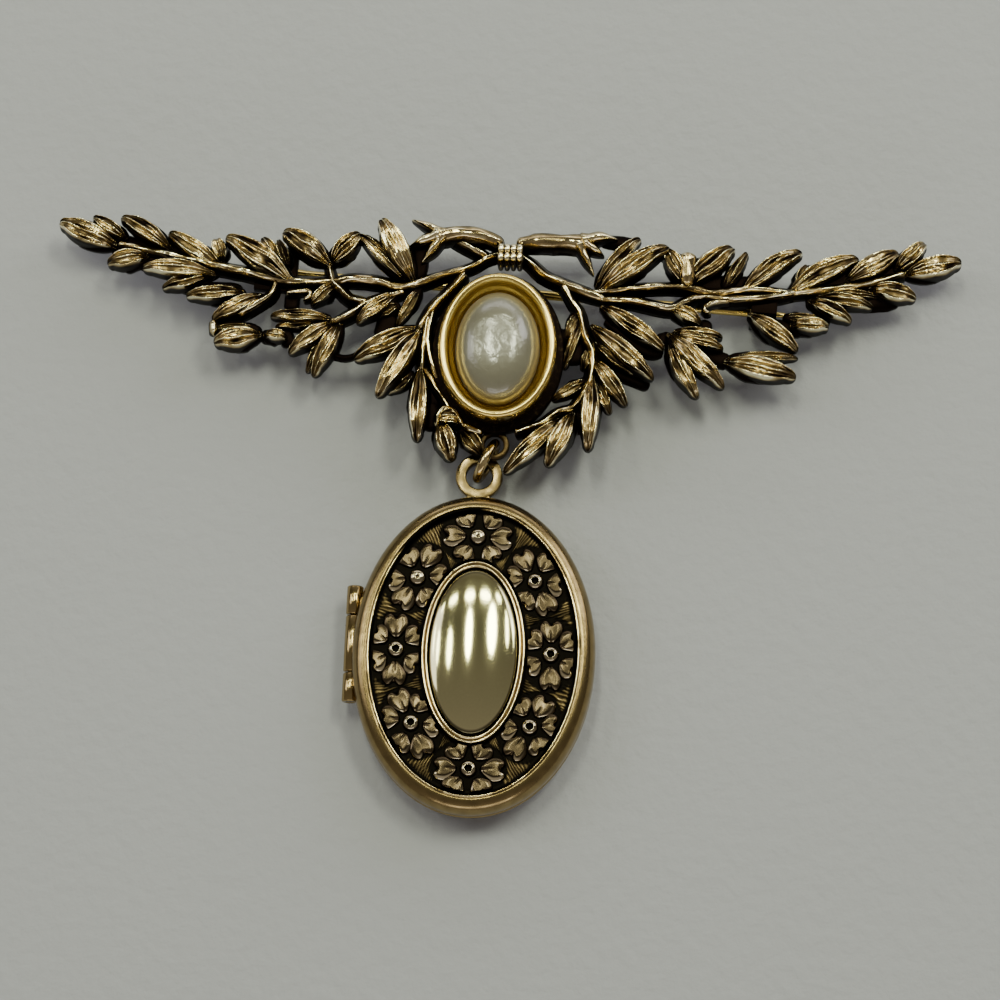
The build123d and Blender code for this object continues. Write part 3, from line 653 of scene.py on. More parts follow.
@dataclass
class Chart:
    """The leaf chart, laid on the frame.

    Attributes:
        columns: squares from one wing's tip to the other's.
        seat_gap: between the cup's foot and the plate under it.
        seat_thickness: of the plate, which stands on the spray's back.
        wing_bow: how far the wings bend back at their tips.
        half_span: squares from the stone to a wing's tip.
        middle: the stone's middle, in plan.
        square: size of a square.
        back: height of the spray's back at its middle.
    """

    columns: float = 922.243
    seat_gap: float = 0.06 * MM
    seat_thickness: float = 1.0 * MM
    wing_bow: float = 1.2 * MM
    half_span: float = 450.0
    middle: Vector = field(init=False)
    square: float = field(init=False)
    back: float = field(init=False)

    def __post_init__(self) -> None:
        """Reads the stone's place and the spray's breadth from the frame."""
        low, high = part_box("pearl")
        self.middle = ((low + high) / 2).to_2d()
        low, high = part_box("leaf_spray")
        self.square = (high.x - low.x) / self.columns
        self.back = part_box("pearl_setting")[0].z - self.seat_gap - self.seat_thickness

    def spot(self, x: float, y: float) -> Vector:
        """A point of the chart, in plan."""
        return self.middle + Vector((x, y)) * self.square

    def back_height(self, x: float) -> float:
        """Height of the spray's back over a place along X."""
        return self.back - self.wing_bow * ((x - self.middle.x) / (self.half_span * self.square)) ** 2


class Rib(NamedTuple):
    """A raised line along a leaf: its place across, where it starts and ends, its breadth and its height."""

    across: float
    start: float
    end: float
    breadth: float
    height: float


def over_the_top(turn: float, upper: float) -> float:
    """Gathers most of a ball's segments on its upper side.

    Args:
        turn: a vertex's turn, 0 to pi over the top.
        upper: share of the segments that the upper side gets.

    Returns:
        The new turn, still 0 to pi over the top.
    """
    away = (turn - math.pi / 2 + math.pi) % math.tau - math.pi
    if abs(away) <= upper * math.pi:
        return math.pi / 2 + away / upper / 2
    past = (abs(away) - upper * math.pi) / (1 - upper)
    return math.pi / 2 + math.copysign(math.pi / 2 + past / 2, away) - (math.tau if away > 0 else 0.0)


def uneven(seed: Vector, along: float, across: float, waves: tuple[float, float], layer: float) -> float:
    """Cast unevenness at a place.

    Args:
        seed: tells pieces apart.
        along: the place's distance along the piece.
        across: its distance across.
        waves: of the unevenness, along and across.
        layer: tells the layers of one piece apart.

    Returns:
        A value round 0.
    """
    return noise.noise(seed + Vector((along * waves[0], across * waves[1], layer)))


class RibDice(NamedTuple):
    """Between what limits the dice throw a rib: its place across the leaf, its end and its breadth."""

    across: tuple[float, float]
    end: tuple[float, float]
    breadth: tuple[float, float]


RIBS = (
    RibDice((-0.86, -0.78), (0.95, 1.2), (0.12, 0.17)),
    RibDice((0.78, 0.86), (0.95, 1.2), (0.12, 0.17)),
    RibDice((-0.12, 0.12), (0.75, 1.1), (0.09, 0.13)),
)
VEIN = RibDice((0.3, 0.55), (0.25, 0.5), (0.07, 0.1))


class TierForm(NamedTuple):
    """Lift of the base, rise and lift of the tip as shares of the rise, and the leaf's wear and painted
    shade.
    """

    lift: float
    rise: float
    tip_lift: float
    wear_and_shade: float


TIERS = {
    Tier.LOW: TierForm(0.0, 0.58, 0.0, 0.8),
    Tier.USUAL: TierForm(0.0, 1.0, 0.1, 1.0),
    Tier.TOP: TierForm(0.18, 1.18, 0.3, 1.05),
}


@dataclass
class LeafShape:
    """How every leaf of the casting is modelled. Shares along a leaf are of its length.

    Attributes:
        rise: height of a usual leaf's crest above the back.
        stalk, stalk_ends: half breadth of a leaf's root, and between where it turns into the blade, along.
        root_cap: where the root's round end is full, along.
        broadest, fullness: the more, the nearer the broadest place lies to the tip; the less, the fuller.
        wall: share of the half girth that the side takes.
        blunt, blunt_grows, blunt_from: half breadth of the rounded tip, where it starts to count and where
            it rounds off, along.
        draft: how far the foot of the side stands out from the leaf's edge.
        edge: height of the side, as a share of the crest.
        dome: height of the top, as a share of the crest.
        root_crest, crest_from: height of the crest at the root, as a share, and where it is full, along.
        tip_drop, tip_from: share of the crest that is lost at the tip, and where the tip starts, along.
        thin_crest: height of the crest where the leaf has no breadth, as a share.
        hollow: depth of the underside's hollow, as a share of the crest.
        relief, lane: height of the ribs above the lanes between them, and the lanes' share of it.
        wander: how far the ribs stray, as a share of the leaf's half breadth.
        lump, fine: height of the cast unevenness, and share of its finer part.
        stray_waves: of the ribs' straying, per millimetre along and per half breadth across.
        rib_waves: of a rib's height, per millimetre along and from rib to rib.
        lump_waves, fine_waves: of the unevenness and its finer part, per millimetre along and across.
        vein_start, vein_height: between what shares of the length a vein starts, and of the relief it rises.
        vein_widths: breadths in squares past which a leaf has one more vein, and two more.
        ground, on_ribs, on_lumps, on_fine, off_edge: patina between the ribs, what ribs, unevenness and its
            finer part add to it, and the painted shade that the rounded edge takes away.
        side, dark: patina at the head of the side, fading to painted shade down the side, and in the
            hollows.
        bed, bed_length: how far the dark metal under a leaf stands out at its root, and reaches along it.
        bed_rise, bed_fall: its height at the root and what it loses towards the tip, as shares of the rise.
    """

    rise: float = 1.9 * MM
    stalk: float = 0.26
    stalk_ends: tuple[float, float] = (0.05, 0.35)
    root_cap: float = 0.03
    broadest: float = 1.12
    fullness: float = 0.72
    wall: float = 0.17
    blunt: float = 0.56
    blunt_grows: float = 0.3
    blunt_from: float = 0.86
    draft: float = 0.14 * MM
    edge: float = 0.55
    dome: float = 0.88
    root_crest: float = 0.5
    crest_from: float = 0.4
    tip_drop: float = 0.3
    tip_from: float = 0.75
    thin_crest: float = 0.35
    hollow: float = 0.3
    relief: float = 0.34 * MM
    lane: float = 0.35
    wander: float = 0.2
    lump: float = 0.11 * MM
    fine: float = 0.45
    stray_waves: tuple[float, float] = (0.45, 0.5)
    rib_waves: tuple[float, float] = (1.1, 9.0)
    lump_waves: tuple[float, float] = (0.6, 1.4)
    fine_waves: tuple[float, float] = (1.2, 3.2)
    vein_start: tuple[float, float] = (-0.1, 0.5)
    vein_height: tuple[float, float] = (0.6, 0.95)
    vein_widths: tuple[float, float] = (15, 20)
    ground: float = 0.33
    on_ribs: float = 0.66
    on_lumps: float = 0.45
    on_fine: float = 0.26
    off_edge: float = 0.3
    side: float = 0.07
    dark: float = 0.03
    bed: float = 0.42 * MM
    bed_length: float = 0.72
    bed_rise: float = 0.46
    bed_fall: float = 0.16

    def outline(self, along: float) -> float:
        """Half breadth at a share of the length: a narrow root, a full middle and a rounded point."""
        leaf = max(math.sin(math.pi * min(along, 1.0) ** self.broadest), 0.0) ** self.fullness
        root = self.stalk * (1 - blend_between(along, *self.stalk_ends))
        root *= math.sqrt(min(along / self.root_cap, 1.0))
        past = max(along - self.blunt_from, 0.0) / (1 - self.blunt_from)
        blunt = self.blunt * math.sqrt(max(1 - past * past, 0.0))
        blunt *= blend_between(along, self.blunt_grows, self.blunt_from)
        return max(leaf, root, blunt)

    def ribs(self, row: LeafRow) -> list[Rib]:
        """The raised lines of a leaf: its two edges, its midrib and a few veins that come and go."""
        dice = random.Random(f"{row.base_x}:{row.tip_y}")
        before_root = -0.2
        lines = [Rib(dice.uniform(*rib.across), before_root, dice.uniform(*rib.end),
                     dice.uniform(*rib.breadth), 1.0) for rib in RIBS]
        one_more, two_more = self.vein_widths
        for number in range(1 + (row.width > one_more) + (row.width > two_more) * 2):
            start = dice.uniform(*self.vein_start)
            across = dice.uniform(*VEIN.across) * (1 if number % 2 else -1)
            lines.append(Rib(across, start, start + dice.uniform(*VEIN.end), dice.uniform(*VEIN.breadth),
                             dice.uniform(*self.vein_height)))
        return lines

    def raised(self, lines: Sequence[Rib], share: float, line: float, length: float, seed: Vector) -> float:
        """How far the ribs lift a place on the leaf.

        Args:
            lines: the ribs.
            share: the place's share of the length.
            line: its place across the leaf, strayed as the ribs are.
            length: its distance from the root, in millimetres.
            seed: tells leaves apart.

        Returns:
            The lift, as a share of the relief.
        """
        highest, reach = 0.0, 2.5
        waves, unlike = self.rib_waves
        for rib in lines:
            away = (line - rib.across) / rib.breadth
            if abs(away) < reach:
                held = blend_between(share, rib.start - 0.05, rib.start + 0.1)
                held *= blend_between(rib.end - share, -0.08, 0.1)
                held *= 0.95 + 0.7 * noise.noise(seed + Vector((length * waves, rib.across * unlike, 5.0)))
                highest = max(highest, rib.height * held * math.exp(-away * away))
        return highest

    def build(self, mould: Mould, chart: Chart, row: LeafRow) -> None:
        """Adds one leaf to a mesh, with the low dark metal round its root.

        Args:
            mould: the mesh.
            chart: where the squares lie.
            row: the leaf.
        """
        base, tip = chart.spot(row.base_x, row.base_y), chart.spot(row.tip_x, row.tip_y)
        way = tip - base
        side = Vector((-way.y, way.x)).normalized()
        half = row.width * chart.square / 2
        bow = row.bow * chart.square
        tier = TIERS[row.tier]
        lines = self.ribs(row)
        seed = Vector((row.base_x * 0.37, row.tip_y * 0.53, row.width))

        def place(share: float, turn: float) -> tuple[Vector, float]:
            """Lays a vertex of the ball on the leaf."""
            turn = over_the_top(turn, 0.8)
            breadth = self.outline(share)
            width = half * breadth
            spot = base + way * share + side * bow * math.sin(math.pi * share)
            low = chart.back_height(spot.x) + self.rise * (tier.lift + tier.tip_lift * share)
            crest = self.root_crest + (1 - self.root_crest) * blend_between(share, 0.0, self.crest_from)
            crest -= self.tip_drop * blend_between(share, self.tip_from, 1.0)
            crest *= self.thin_crest + (1 - self.thin_crest) * min(breadth * 1.8, 1.0)
            top = self.rise * tier.rise * crest
            skirt = self.draft * (1.2 - 0.6 * share) * min(breadth * 2, 1.0)
            if turn < 0:
                across = 1 + 2 * turn / math.pi
                hollow = self.hollow * top * (1 - across * across) * breadth
                spot = spot + side * (width + skirt) * across
                return Vector((spot.x, spot.y, low + hollow)), self.dark
            across = 1 - 2 * turn / math.pi
            if abs(across) > 1 - self.wall:
                fall = (abs(across) - 1 + self.wall) / self.wall
                spot = spot + side * math.copysign(width + skirt * fall ** 1.3, across)
                height = top * self.edge * (1 - fall)
                # The side wall goes black: patina in the pockets between leaves, with painted shade on the
                # wall.
                return Vector((spot.x, spot.y, low + height)), self.side * max(1 - 3 * fall, 0.0)
            flat = across / (1 - self.wall)
            length, off = share * way.length / MM, flat * half / MM
            stray = uneven(seed, length, flat, self.stray_waves, 0.0)
            raised = self.raised(lines, share, flat + self.wander * stray * (1 - flat * flat), length, seed)
            lump = uneven(seed * 1.7, length, off, self.lump_waves, 3.0)
            fine = uneven(seed, length, off, self.fine_waves, 7.0)
            shoulder = max(1 - abs(flat) ** 6.0, 0.0) ** 0.65
            height = top * (self.edge + (self.dome - self.edge) * shoulder)
            height += (self.relief * (raised - self.lane) + self.lump * (lump + self.fine * fine)) * shoulder
            spot = spot + side * width * flat
            # The rounded edge is darkened by painted shade.
            patina = self.ground + self.on_ribs * min(raised, 1.0) - self.off_edge * (1 - shoulder)
            patina += self.on_lumps * lump + self.on_fine * fine
            # Low leaves are darkened by painted shade under the higher ones; higher ones are worn brighter.
            patina *= tier.wear_and_shade * (0.8 + 0.2 * blend_between(share, 0.0, 0.2))
            # Painted shade: the leaf darkens at its sloping tip.
            patina *= 1 - 0.5 * blend_between(share, 0.95, 1.0)
            return Vector((spot.x, spot.y, low + height)), max(patina, self.dark)

        def lay(share: float, turn: float) -> tuple[Vector, float]:
            """Lays a vertex of the ball on the dark metal."""
            along = self.bed_length * share
            spot = base + way * along + side * bow * math.sin(math.pi * along)
            low = chart.back_height(spot.x) + self.rise * tier.lift
            round_end = max(1 - abs(2 * share - 1) ** 5, 0.0) ** 0.5
            width = (half * self.outline(along) + self.bed * (1 - 0.75 * share)) * round_end
            arch = max(math.sin(turn), 0.0) ** 0.5
            lump = noise.noise(seed + Vector((share * 4, turn, 9.0)))
            height = self.rise * (self.bed_rise - self.bed_fall * share) * arch * round_end
            height *= 1 + 0.25 * lump
            spot = spot + side * width * math.cos(turn) * (1 + 0.15 * lump)
            return Vector((spot.x, spot.y, low + height)), self.dark

        mould.ball(76, 46, place)
        mould.ball(24, 14, lay)


@dataclass(frozen=True)
class RunForm:
    """Section and finish of the stems, the twigs or the webs.

    Attributes:
        rise: height above the back.
        lift: how far the underside stands off the back, as a share of the height.
        start: breadth of the first end, as a share.
        end: breadth of the last end, as a share.
        breadth: of the section, as a share of the row's.
        arch: how full the section is: the less, the squarer.
        skirt: how far the foot stands out.
        grooved: how deeply lines run along it.
        patina: value on its crest.
    """

    rise: float
    lift: float
    start: float
    end: float
    breadth: float
    arch: float
    skirt: float
    grooved: float
    patina: float


STEM_FORM = RunForm(1.35 * MM, 0.0, 0.8, 0.8, 0.72, 0.7, 0.42 * MM, 0.7, 0.9)
TWIG_FORM = RunForm(2.1 * MM, 0.1, 0.8, 0.75, 1.55, 0.6, 0.1 * MM, 0.35, 0.72)
THORN_FORM = RunForm(1.95 * MM, 0.1, 1.5, 0.2, 1.5, 0.6, 0.08 * MM, 0.1, 0.78)
WEB_FORM = RunForm(0.5 * MM, 0.0, 0.8, 0.8, 1.05, 0.4, 0.15 * MM, 0.2, 0.03)
CURL_FORM = RunForm(1.7 * MM, 0.2, 0.9, 0.7, 1.1, 0.6, 0.1 * MM, 0.3, 0.85)


@dataclass
class RunShape:
    """How every stem, twig and web is modelled along its route.

    Attributes:
        start_grows: share of the length along which the first end comes to its full breadth.
        end_tapers, thorn_tapers: from where the last end narrows, and the same for one that ends in a point.
        point: breadth of the last end below which it is a point.
        lump_waves, groove_waves: of the unevenness, per millimetre, and of the lines, along and sideways.
        uneven, groove: how much the breadth wanders, and depth of a line, as shares.
        dark: patina of the hollows.
        segments, density, fewest: segments round a run, per millimetre along it, and along the shortest.
    """

    start_grows: float = 0.35
    end_tapers: float = 0.8
    thorn_tapers: float = 0.45
    point: float = 0.5
    lump_waves: float = 0.9
    groove_waves: tuple[float, float] = (0.8, 3.4)
    uneven: float = 0.2
    groove: float = 0.09
    dark: float = 0.03
    segments: int = 32
    density: float = 3.2
    fewest: int = 16

    def build(self, mould: Mould, chart: Chart, row: RunRow, form: RunForm) -> None:
        """Adds a stem, twig or web along its route.

        Args:
            mould: the mesh.
            chart: where the squares lie.
            row: its name, breadth and route.
            form: its section and finish.
        """
        route = Route([tuple(chart.spot(x, y)) for x, y in row.route])
        half = row.width * form.breadth * chart.square / 2
        seed = Vector((len(row.name), row.route[0][0] * 0.1, row.route[0][1] * 0.1))
        tapers = self.thorn_tapers if form.end < self.point else self.end_tapers
        waves, sideways = self.groove_waves

        def place(along: float, turn: float) -> tuple[Vector, float]:
            """Lays a vertex of the ball on the run."""
            knob = min((0.5 - abs(along - 0.5)) * route.total / half, 1.0)
            round_end = math.sqrt(max(knob * (2 - knob), 0.0))
            taper = form.start + (1 - form.start) * blend_between(along, 0.0, self.start_grows)
            taper += (form.end - 1) * blend_between(along, tapers, 1.0)
            size = taper * round_end
            spot = route.place(along)
            way = along * route.total / MM
            lump = noise.noise(seed + Vector((way * self.lump_waves, math.sin(turn), 0.0)))
            fine = noise.noise(seed + Vector((way * waves, math.cos(turn) * sideways, 5.0)))
            width = half * size * (1 + self.uneven * lump)
            low = chart.back_height(spot.x) + form.rise * form.lift
            height = form.rise * (1 - form.lift) * (0.4 + 0.6 * size)
            arch = max(math.sin(turn), 0.0) ** form.arch
            skirt = form.skirt * size * (1 - arch) ** 1.2
            spot = spot + route.side(along) * (width * math.cos(turn) + math.copysign(skirt, math.cos(turn)))
            if turn < 0:
                return Vector((spot.x, spot.y, low)), self.dark
            cut = blend_between(0.1 - fine, 0.0, 0.25) * form.grooved
            patina = form.patina * (blend_between(arch, 0.6, 0.93) * (1 - 0.75 * cut) + 0.3 * lump)
            height *= arch * (1 + 0.1 * lump) - self.groove * cut * arch
            return Vector((spot.x, spot.y, low + height)), max(patina, self.dark)

        mould.ball(self.segments, max(self.fewest, int(route.total / MM * self.density)), place)


@dataclass
class Wrap:
    """The ribbed wrap that stands above the cup.

    Attributes:
        width: across all its ribs.
        length: of a rib.
        rise: height above the back.
        ribs: how many there are.
        margin: from the seat plate's edge to its foot.
        shift: how far it stands right of the stone's middle.
        waist, waist_half: depth and half breadth of the groove across it, as shares.
        arch: how full a rib is: the less, the squarer.
        foot: half breadth of a rib's foot and of its body, as shares of the pitch.
    """

    width: float = 2.15 * MM
    length: float = 1.85 * MM
    rise: float = 2.6 * MM
    ribs: int = 4
    margin: float = 0.55 * MM
    shift: float = 0.75 * MM
    waist: float = 0.1
    waist_half: float = 0.06
    arch: float = 0.45
    foot: tuple[float, float] = (0.5, 0.57)

    def build(self, mould: Mould, chart: Chart, half_y: float) -> None:
        """Adds its ribs to a mesh, above a seat plate of this half length."""
        pitch = self.width / self.ribs
        foot, body = self.foot
        for rib in range(self.ribs):
            x = chart.middle.x + self.shift + pitch * (rib + 0.5 - self.ribs / 2)
            start = Vector((x, chart.middle.y + half_y + self.margin))

            def place(along: float, turn: float, start: Vector = start,
                      rib: int = rib) -> tuple[Vector, float]:
                """Lays a vertex of the ball on one rib."""
                low = chart.back_height(start.x)
                ends = math.sqrt(max(1 - (2 * along - 1) ** 6, 0.0))
                groove = self.waist * math.exp(-((along - 0.5) / self.waist_half) ** 2)
                y = start.y + self.length * along
                if turn < 0:
                    return Vector((start.x + pitch * foot * math.cos(turn) * ends, y, low)), 0.1
                arch = math.sin(turn) ** self.arch
                lump = noise.noise(Vector((rib * 3.1, along * 4, turn)))
                height = self.rise * (0.5 + 0.5 * ends) * (1 - groove)
                height *= 0.72 + 0.28 * arch if arch > 0.5 else arch * 1.72
                patina = (0.95 * blend_between(arch, 0.7, 0.98) + 0.1) * (1 - 6 * groove) + 0.2 * lump
                return Vector((start.x + pitch * body * math.cos(turn) * ends, y, low + height)), patina

            mould.ball(28, 28, place)


class Level(NamedTuple):
    """A level of a skin: how far out or in it lies, and its height, in the unit that its table names."""

    reach: float
    rise: float


# The seat plate, from the middle of its underside to the middle of its top, in shares
SEAT_LEVELS = (
    Level(0.0, 0.0), Level(0.94, 0.0), Level(1.0, 0.12), Level(1.0, 0.85), Level(0.97, 1.0), Level(0.5, 1.0),
    Level(0.0, 1.0),
)


@dataclass
class Casting:
    """The antiqued spray: leaves, stems, twigs, webs, wrap, seat plate and eye.

    Attributes:
        chart: where its squares lie.
        leaf: how its leaves are modelled.
        stem: how its stems, twigs and webs are modelled.
        wrap: the wrap above the cup.
        left_split, right_split: squares from the stone to where a wing's root ends and its tip starts.
        seat_margin: how far the seat plate stands out past the cup.
        seat_patina: value of the plate, and what its upper edge adds.
        eye_hole, eye_rim, eye_thick: radius of the eye's hole, breadth and thickness of its ring.
        eye_drop: how far its underside lies below the spray's back.
        eye_square: how round the ring's section is: the less, the squarer.
        neck_half, neck_length, neck_gap, neck_bevel: half breadth and length of the eye's neck, the way
            to it from the hole, and the radius of its edges.
    """

    chart: Chart
    leaf: LeafShape = field(default_factory=LeafShape)
    stem: RunShape = field(default_factory=RunShape)
    wrap: Wrap = field(default_factory=Wrap)
    left_split: float = 210
    right_split: float = 215
    seat_margin: float = 0.45 * MM
    seat_patina: tuple[float, float] = (0.04, 0.09)
    eye_hole: float = 0.8 * MM
    eye_rim: float = 0.5 * MM
    eye_thick: float = 0.8 * MM
    eye_drop: float = 0.6 * MM
    eye_square: float = 0.6
    neck_half: float = 0.9 * MM
    neck_length: float = 1.2 * MM
    neck_gap: float = 0.2 * MM
    neck_bevel: float = 0.12 * MM

    def wing(self, wing: Wing, outer: bool, material: bpy.types.Material) -> None:
        """Builds the leaves of one half of a wing.

        Args:
            wing: which one.
            outer: whether it is the half towards the tip.
            material: its finish.
        """
        mould = Mould()
        split = self.left_split if wing is Wing.LEFT else self.right_split
        for row in LEAVES:
            if (row.base_x < 0) == (wing is Wing.LEFT) and (abs(row.base_x) > split) == outer:
                self.leaf.build(mould, self.chart, row)
        name = f"{wing.value}_wing_{'tip' if outer else 'root'}"
        mould.finish(name, "brooch", material, ["leaf_spray"])

    def stems(self, material: bpy.types.Material) -> None:
        """Builds the stems, twigs, webs and tendrils."""
        mould = Mould()
        for rows, form in ((STEMS, STEM_FORM), (TWIGS, TWIG_FORM), (WEBS, WEB_FORM), (CURLS, CURL_FORM)):
            for row in rows:
                self.stem.build(mould, self.chart, row, THORN_FORM if "thorn" in row.name else form)
        mould.finish("stems_and_twigs", "brooch", material, ["leaf_spray"])

    def plate_and_wrap(self, material: bpy.types.Material) -> None:
        """Builds the oval seat plate, the ribbed wrap and the eye."""
        mould = Mould()
        low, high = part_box("pearl_setting")
        half_x = (high.x - low.x) / 2 + self.seat_margin
        half_y = (high.y - low.y) / 2 + self.seat_margin
        base, edge = self.seat_patina

        def lay(turn: float, share: float) -> tuple[Vector, float]:
            """Lays a vertex on the seat plate."""
            level = SEAT_LEVELS[round(share * (len(SEAT_LEVELS) - 1))]
            oval = Vector((half_x * math.cos(turn), half_y * math.sin(turn)))
            spot = self.chart.middle + oval * level.reach
            height = self.chart.back + self.chart.seat_thickness * level.rise
            patina = base + edge * level.rise * blend_between(level.reach, 0.9, 1.0)
            return Vector((spot.x, spot.y, height)), patina

        mould.skin(128, len(SEAT_LEVELS) - 1, lay)
        self.wrap.build(mould, self.chart, half_y)
        self._eye(mould, half_y)
        mould.finish("seat_wrap_and_eye", "brooch", material, ["leaf_spray"])

    def _eye(self, mould: Mould, half_y: float) -> None:
        """Adds the cast eye below the seat, as a flat ring with a neck."""
        centre = (self.chart.middle - Vector((0, half_y + self.eye_hole))).to_3d()
        centre.z = self.chart.back - self.eye_drop + self.eye_thick / 2
        mould.flat_ring(centre, self.eye_hole, self.eye_rim, self.eye_thick, self.eye_square, (64, 20),
                        (0.15, 0.15, 0.0))
        near = centre.y + self.eye_hole + self.neck_gap
        far = near + self.neck_length
        neck = [Vector((centre.x + side * self.neck_half, y, centre.z - self.eye_thick / 2))
                for side, y in ((-1, near), (1, near), (1, far), (-1, far))]
        mould.plate(neck, self.eye_thick, self.neck_bevel, 0.4)

    def build(self, material: bpy.types.Material) -> None:
        """Builds all of the casting."""
        for wing in Wing:
            self.wing(wing, True, material)
            self.wing(wing, False, material)
        self.stems(material)
        self.plate_and_wrap(material)


# The cup's wall and rolled rim, from its foot to its floor: inset in breadths of the lip, height as a share
CUP_LEVELS = (
    Level(0.5, 0.0), Level(0.34, 0.12), Level(0.28, 0.4), Level(0.28, 0.64), Level(0.33, 0.82),
    Level(0.46, 0.93), Level(0.66, 0.985), Level(0.88, 1.0), Level(1.12, 0.975), Level(1.34, 0.91),
    Level(1.5, 0.81), Level(1.6, 0.69), Level(1.78, 0.6), Level(2.1, 0.54), Level(2.4, 0.46),
    Level(2.6, 0.4), Level(2.7, 0.3),
)


@dataclass
class Stone:
    """The imitation pearl and the bright cup that holds it.

    Attributes:
        lip: from the cup's outside in to the crest of its rim.
        floor: thickness of the cup's floor.
        floor_edge: inset of the floor's edge, in breadths of the lip.
        foot: share of the pearl's skin that lies under it.
        wave: unevenness of the pearl, as a share of its height.
    """

    lip: float = 0.65 * MM
    floor: float = 0.5 * MM
    floor_edge: float = 5.0
    foot: float = 0.1
    wave: float = 0.012

    def cup(self, material: bpy.types.Material) -> None:
        """Builds the cup: a leaning wall, a rounded rim and a sunk floor."""
        low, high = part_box("pearl_setting")
        middle = (low + high) / 2
        half = (high - low) / 2
        rise = high.z - low.z
        line = [(level.reach * self.lip, level.rise * rise) for level in CUP_LEVELS]
        curve = Route([*line, (self.floor_edge * self.lip, self.floor), (half.x, self.floor)])
        inside, floor_from, closing = 0.45, 0.75, 0.3

        def lay(turn: float, share: float) -> tuple[Vector, float]:
            """Lays a vertex on the cup's skin, from its foot over the rim to the middle of its floor."""
            inset, height = curve.place(share)
            inset = min(inset, half.x)
            reach = Vector((half.x - inset, half.y - inset))
            if share > floor_from:
                reach.y = max(reach.y, 0) * min((1 - inset / half.x) / closing, 1.0)
            # Painted shade and highlight by height: lightest on the rim's crest, darker down the outer wall
            # and down the inner slope, with patina in the groove by the pearl.
            patina = 0.55 + 0.4 * blend_between(height / rise, 0.4, 0.95)
            if share > inside:
                patina = 0.25 + 0.7 * blend_between(height / rise, 0.38, 0.98)
            spot = Vector((middle.x + reach.x * math.cos(turn), middle.y + reach.y * math.sin(turn)))
            return Vector((spot.x, spot.y, low.z + height)), patina

        mould = Mould()
        mould.skin(160, 64, lay)
        bmesh.ops.holes_fill(mould.bm, edges=mould.bm.edges[:], sides=0)
        mould.finish("bright_cup", "brooch", material, ["pearl_setting"])

    def pearl(self, material: bpy.types.Material) -> None:
        """Builds the oval cabochon."""
        low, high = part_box("pearl")
        middle, half = (low + high) / 2, (high - low) / 2
        rise = high.z - low.z

        def lay(turn: float, share: float) -> tuple[Vector, float]:
            """Lays a vertex on the cabochon, from the middle of its foot to its crown."""
            if share < self.foot:
                size, height = share / self.foot * 0.97, 0.0
            else:
                angle = (share - self.foot) / (1 - self.foot) * math.pi / 2
                size = math.cos(angle) ** 0.66
                height = math.sin(angle) ** 0.95
            wave = noise.noise(Vector((math.cos(turn) * size * 2.3, math.sin(turn) * size * 3.0, 1.5)))
            spot = Vector((half.x * size * math.cos(turn), half.y * size * math.sin(turn)))
            height = low.z + rise * height * (1 + self.wave * wave)
            # The patina attribute here holds the painted reflection of the gold cup, strongest at the
            # pearl's edge.
            patina = 0.85 * blend_between(size, 0.75, 1.0)
            return Vector((middle.x + spot.x, middle.y + spot.y, height)), patina

        mould = Mould()
        mould.skin(144, 72, lay)
        mould.finish("pearl_cabochon", "brooch", material, ["pearl"])


@dataclass
class Hinge:
    """The locket's hinge line, read from the frame.

    Attributes:
        radius: of the knuckles.
        bore: radius of the wire's bore.
        room: how far the two rims stand back from the knuckles.
        row: length of all the knuckles together.
        middle_row: length of the cover's own knuckle.
        gap: between neighbours.
        place: the line's middle.
    """

    radius: float = 0.7 * MM
    bore: float = 0.34 * MM
    room: float = 0.12 * MM
    row: float = 9.9 * MM
    middle_row: float = 4.9 * MM
    gap: float = 0.12 * MM
    place: Vector = field(init=False)

    def __post_init__(self) -> None:
        """Finds the line from the hinge wire's node."""
        low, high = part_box("locket_hinge_pin")
        self.place = (low + high) / 2

    def clear(self, spot: Vector) -> Vector:
        """Moves a point of a rim out of the knuckles' room.

        Args:
            spot: the point.

        Returns:
            The point, on the room's wall if it lay inside.
        """
        if abs(spot.y - self.place.y) > self.row / 2 + self.gap:
            return spot
        off = Vector((spot.x - self.place.x, spot.z - self.place.z))
        room = self.radius + self.room
        if off.length >= room:
            return spot
        if off.x < 0:
            off.x = 0.0
        off = off.normalized() * room if off.length > 0 else Vector((room, 0.0))
        return Vector((self.place.x + off.x, spot.y, self.place.z + off.y))

    def knuckle(self, mould: Mould, start: float, end: float) -> None:
        """Adds one barrel between two places along the line."""
        along_y = Matrix(((1, 0, 0), (0, 0, 1), (0, 1, 0)))
        mould.barrel(self.place, along_y, self.bore, self.radius, (start, end), 40, 0.6)


class Zone(NamedTuple):
    """A level of the cover's skin: its inset, its height and its patina."""

    inset: float
    height: float
    patina: float


# The hollow of the cover, in millimetres from the outline and above the seam
HOLLOW = (
    Zone(10.2, 2.0, 0.4), Zone(8.4, 1.95, 0.4), Zone(7.2, 1.6, 0.4), Zone(5.9, 1.12, 0.38),
    Zone(4.0, 1.05, 0.38), Zone(2.6, 1.03, 0.36), Zone(1.75, 0.75, 0.34), Zone(1.2, 0.3, 0.4),
    Zone(1.12, 0.04, 0.5), Zone(1.06, 0.0, 0.6),
)
# Its edge at the seam and the bead inside its rolled rim, the inset in the same unit for a rim of RIM_UNIT
SEAM_EDGE = (Zone(0.22, 0.0, 0.4), Zone(0.1, 0.06, 0.48), Zone(0.03, 0.25, 0.52))
BEAD = (
    Zone(1.15, 2.1, 0.2), Zone(1.19, 2.16, 0.7), Zone(1.25, 2.25, 1.0), Zone(1.31, 2.16, 0.9),
    Zone(1.36, 2.0, 0.2), Zone(1.42, 1.9, 0.04), Zone(1.5, 1.82, 0.02),
)
RIM_UNIT = 1.5
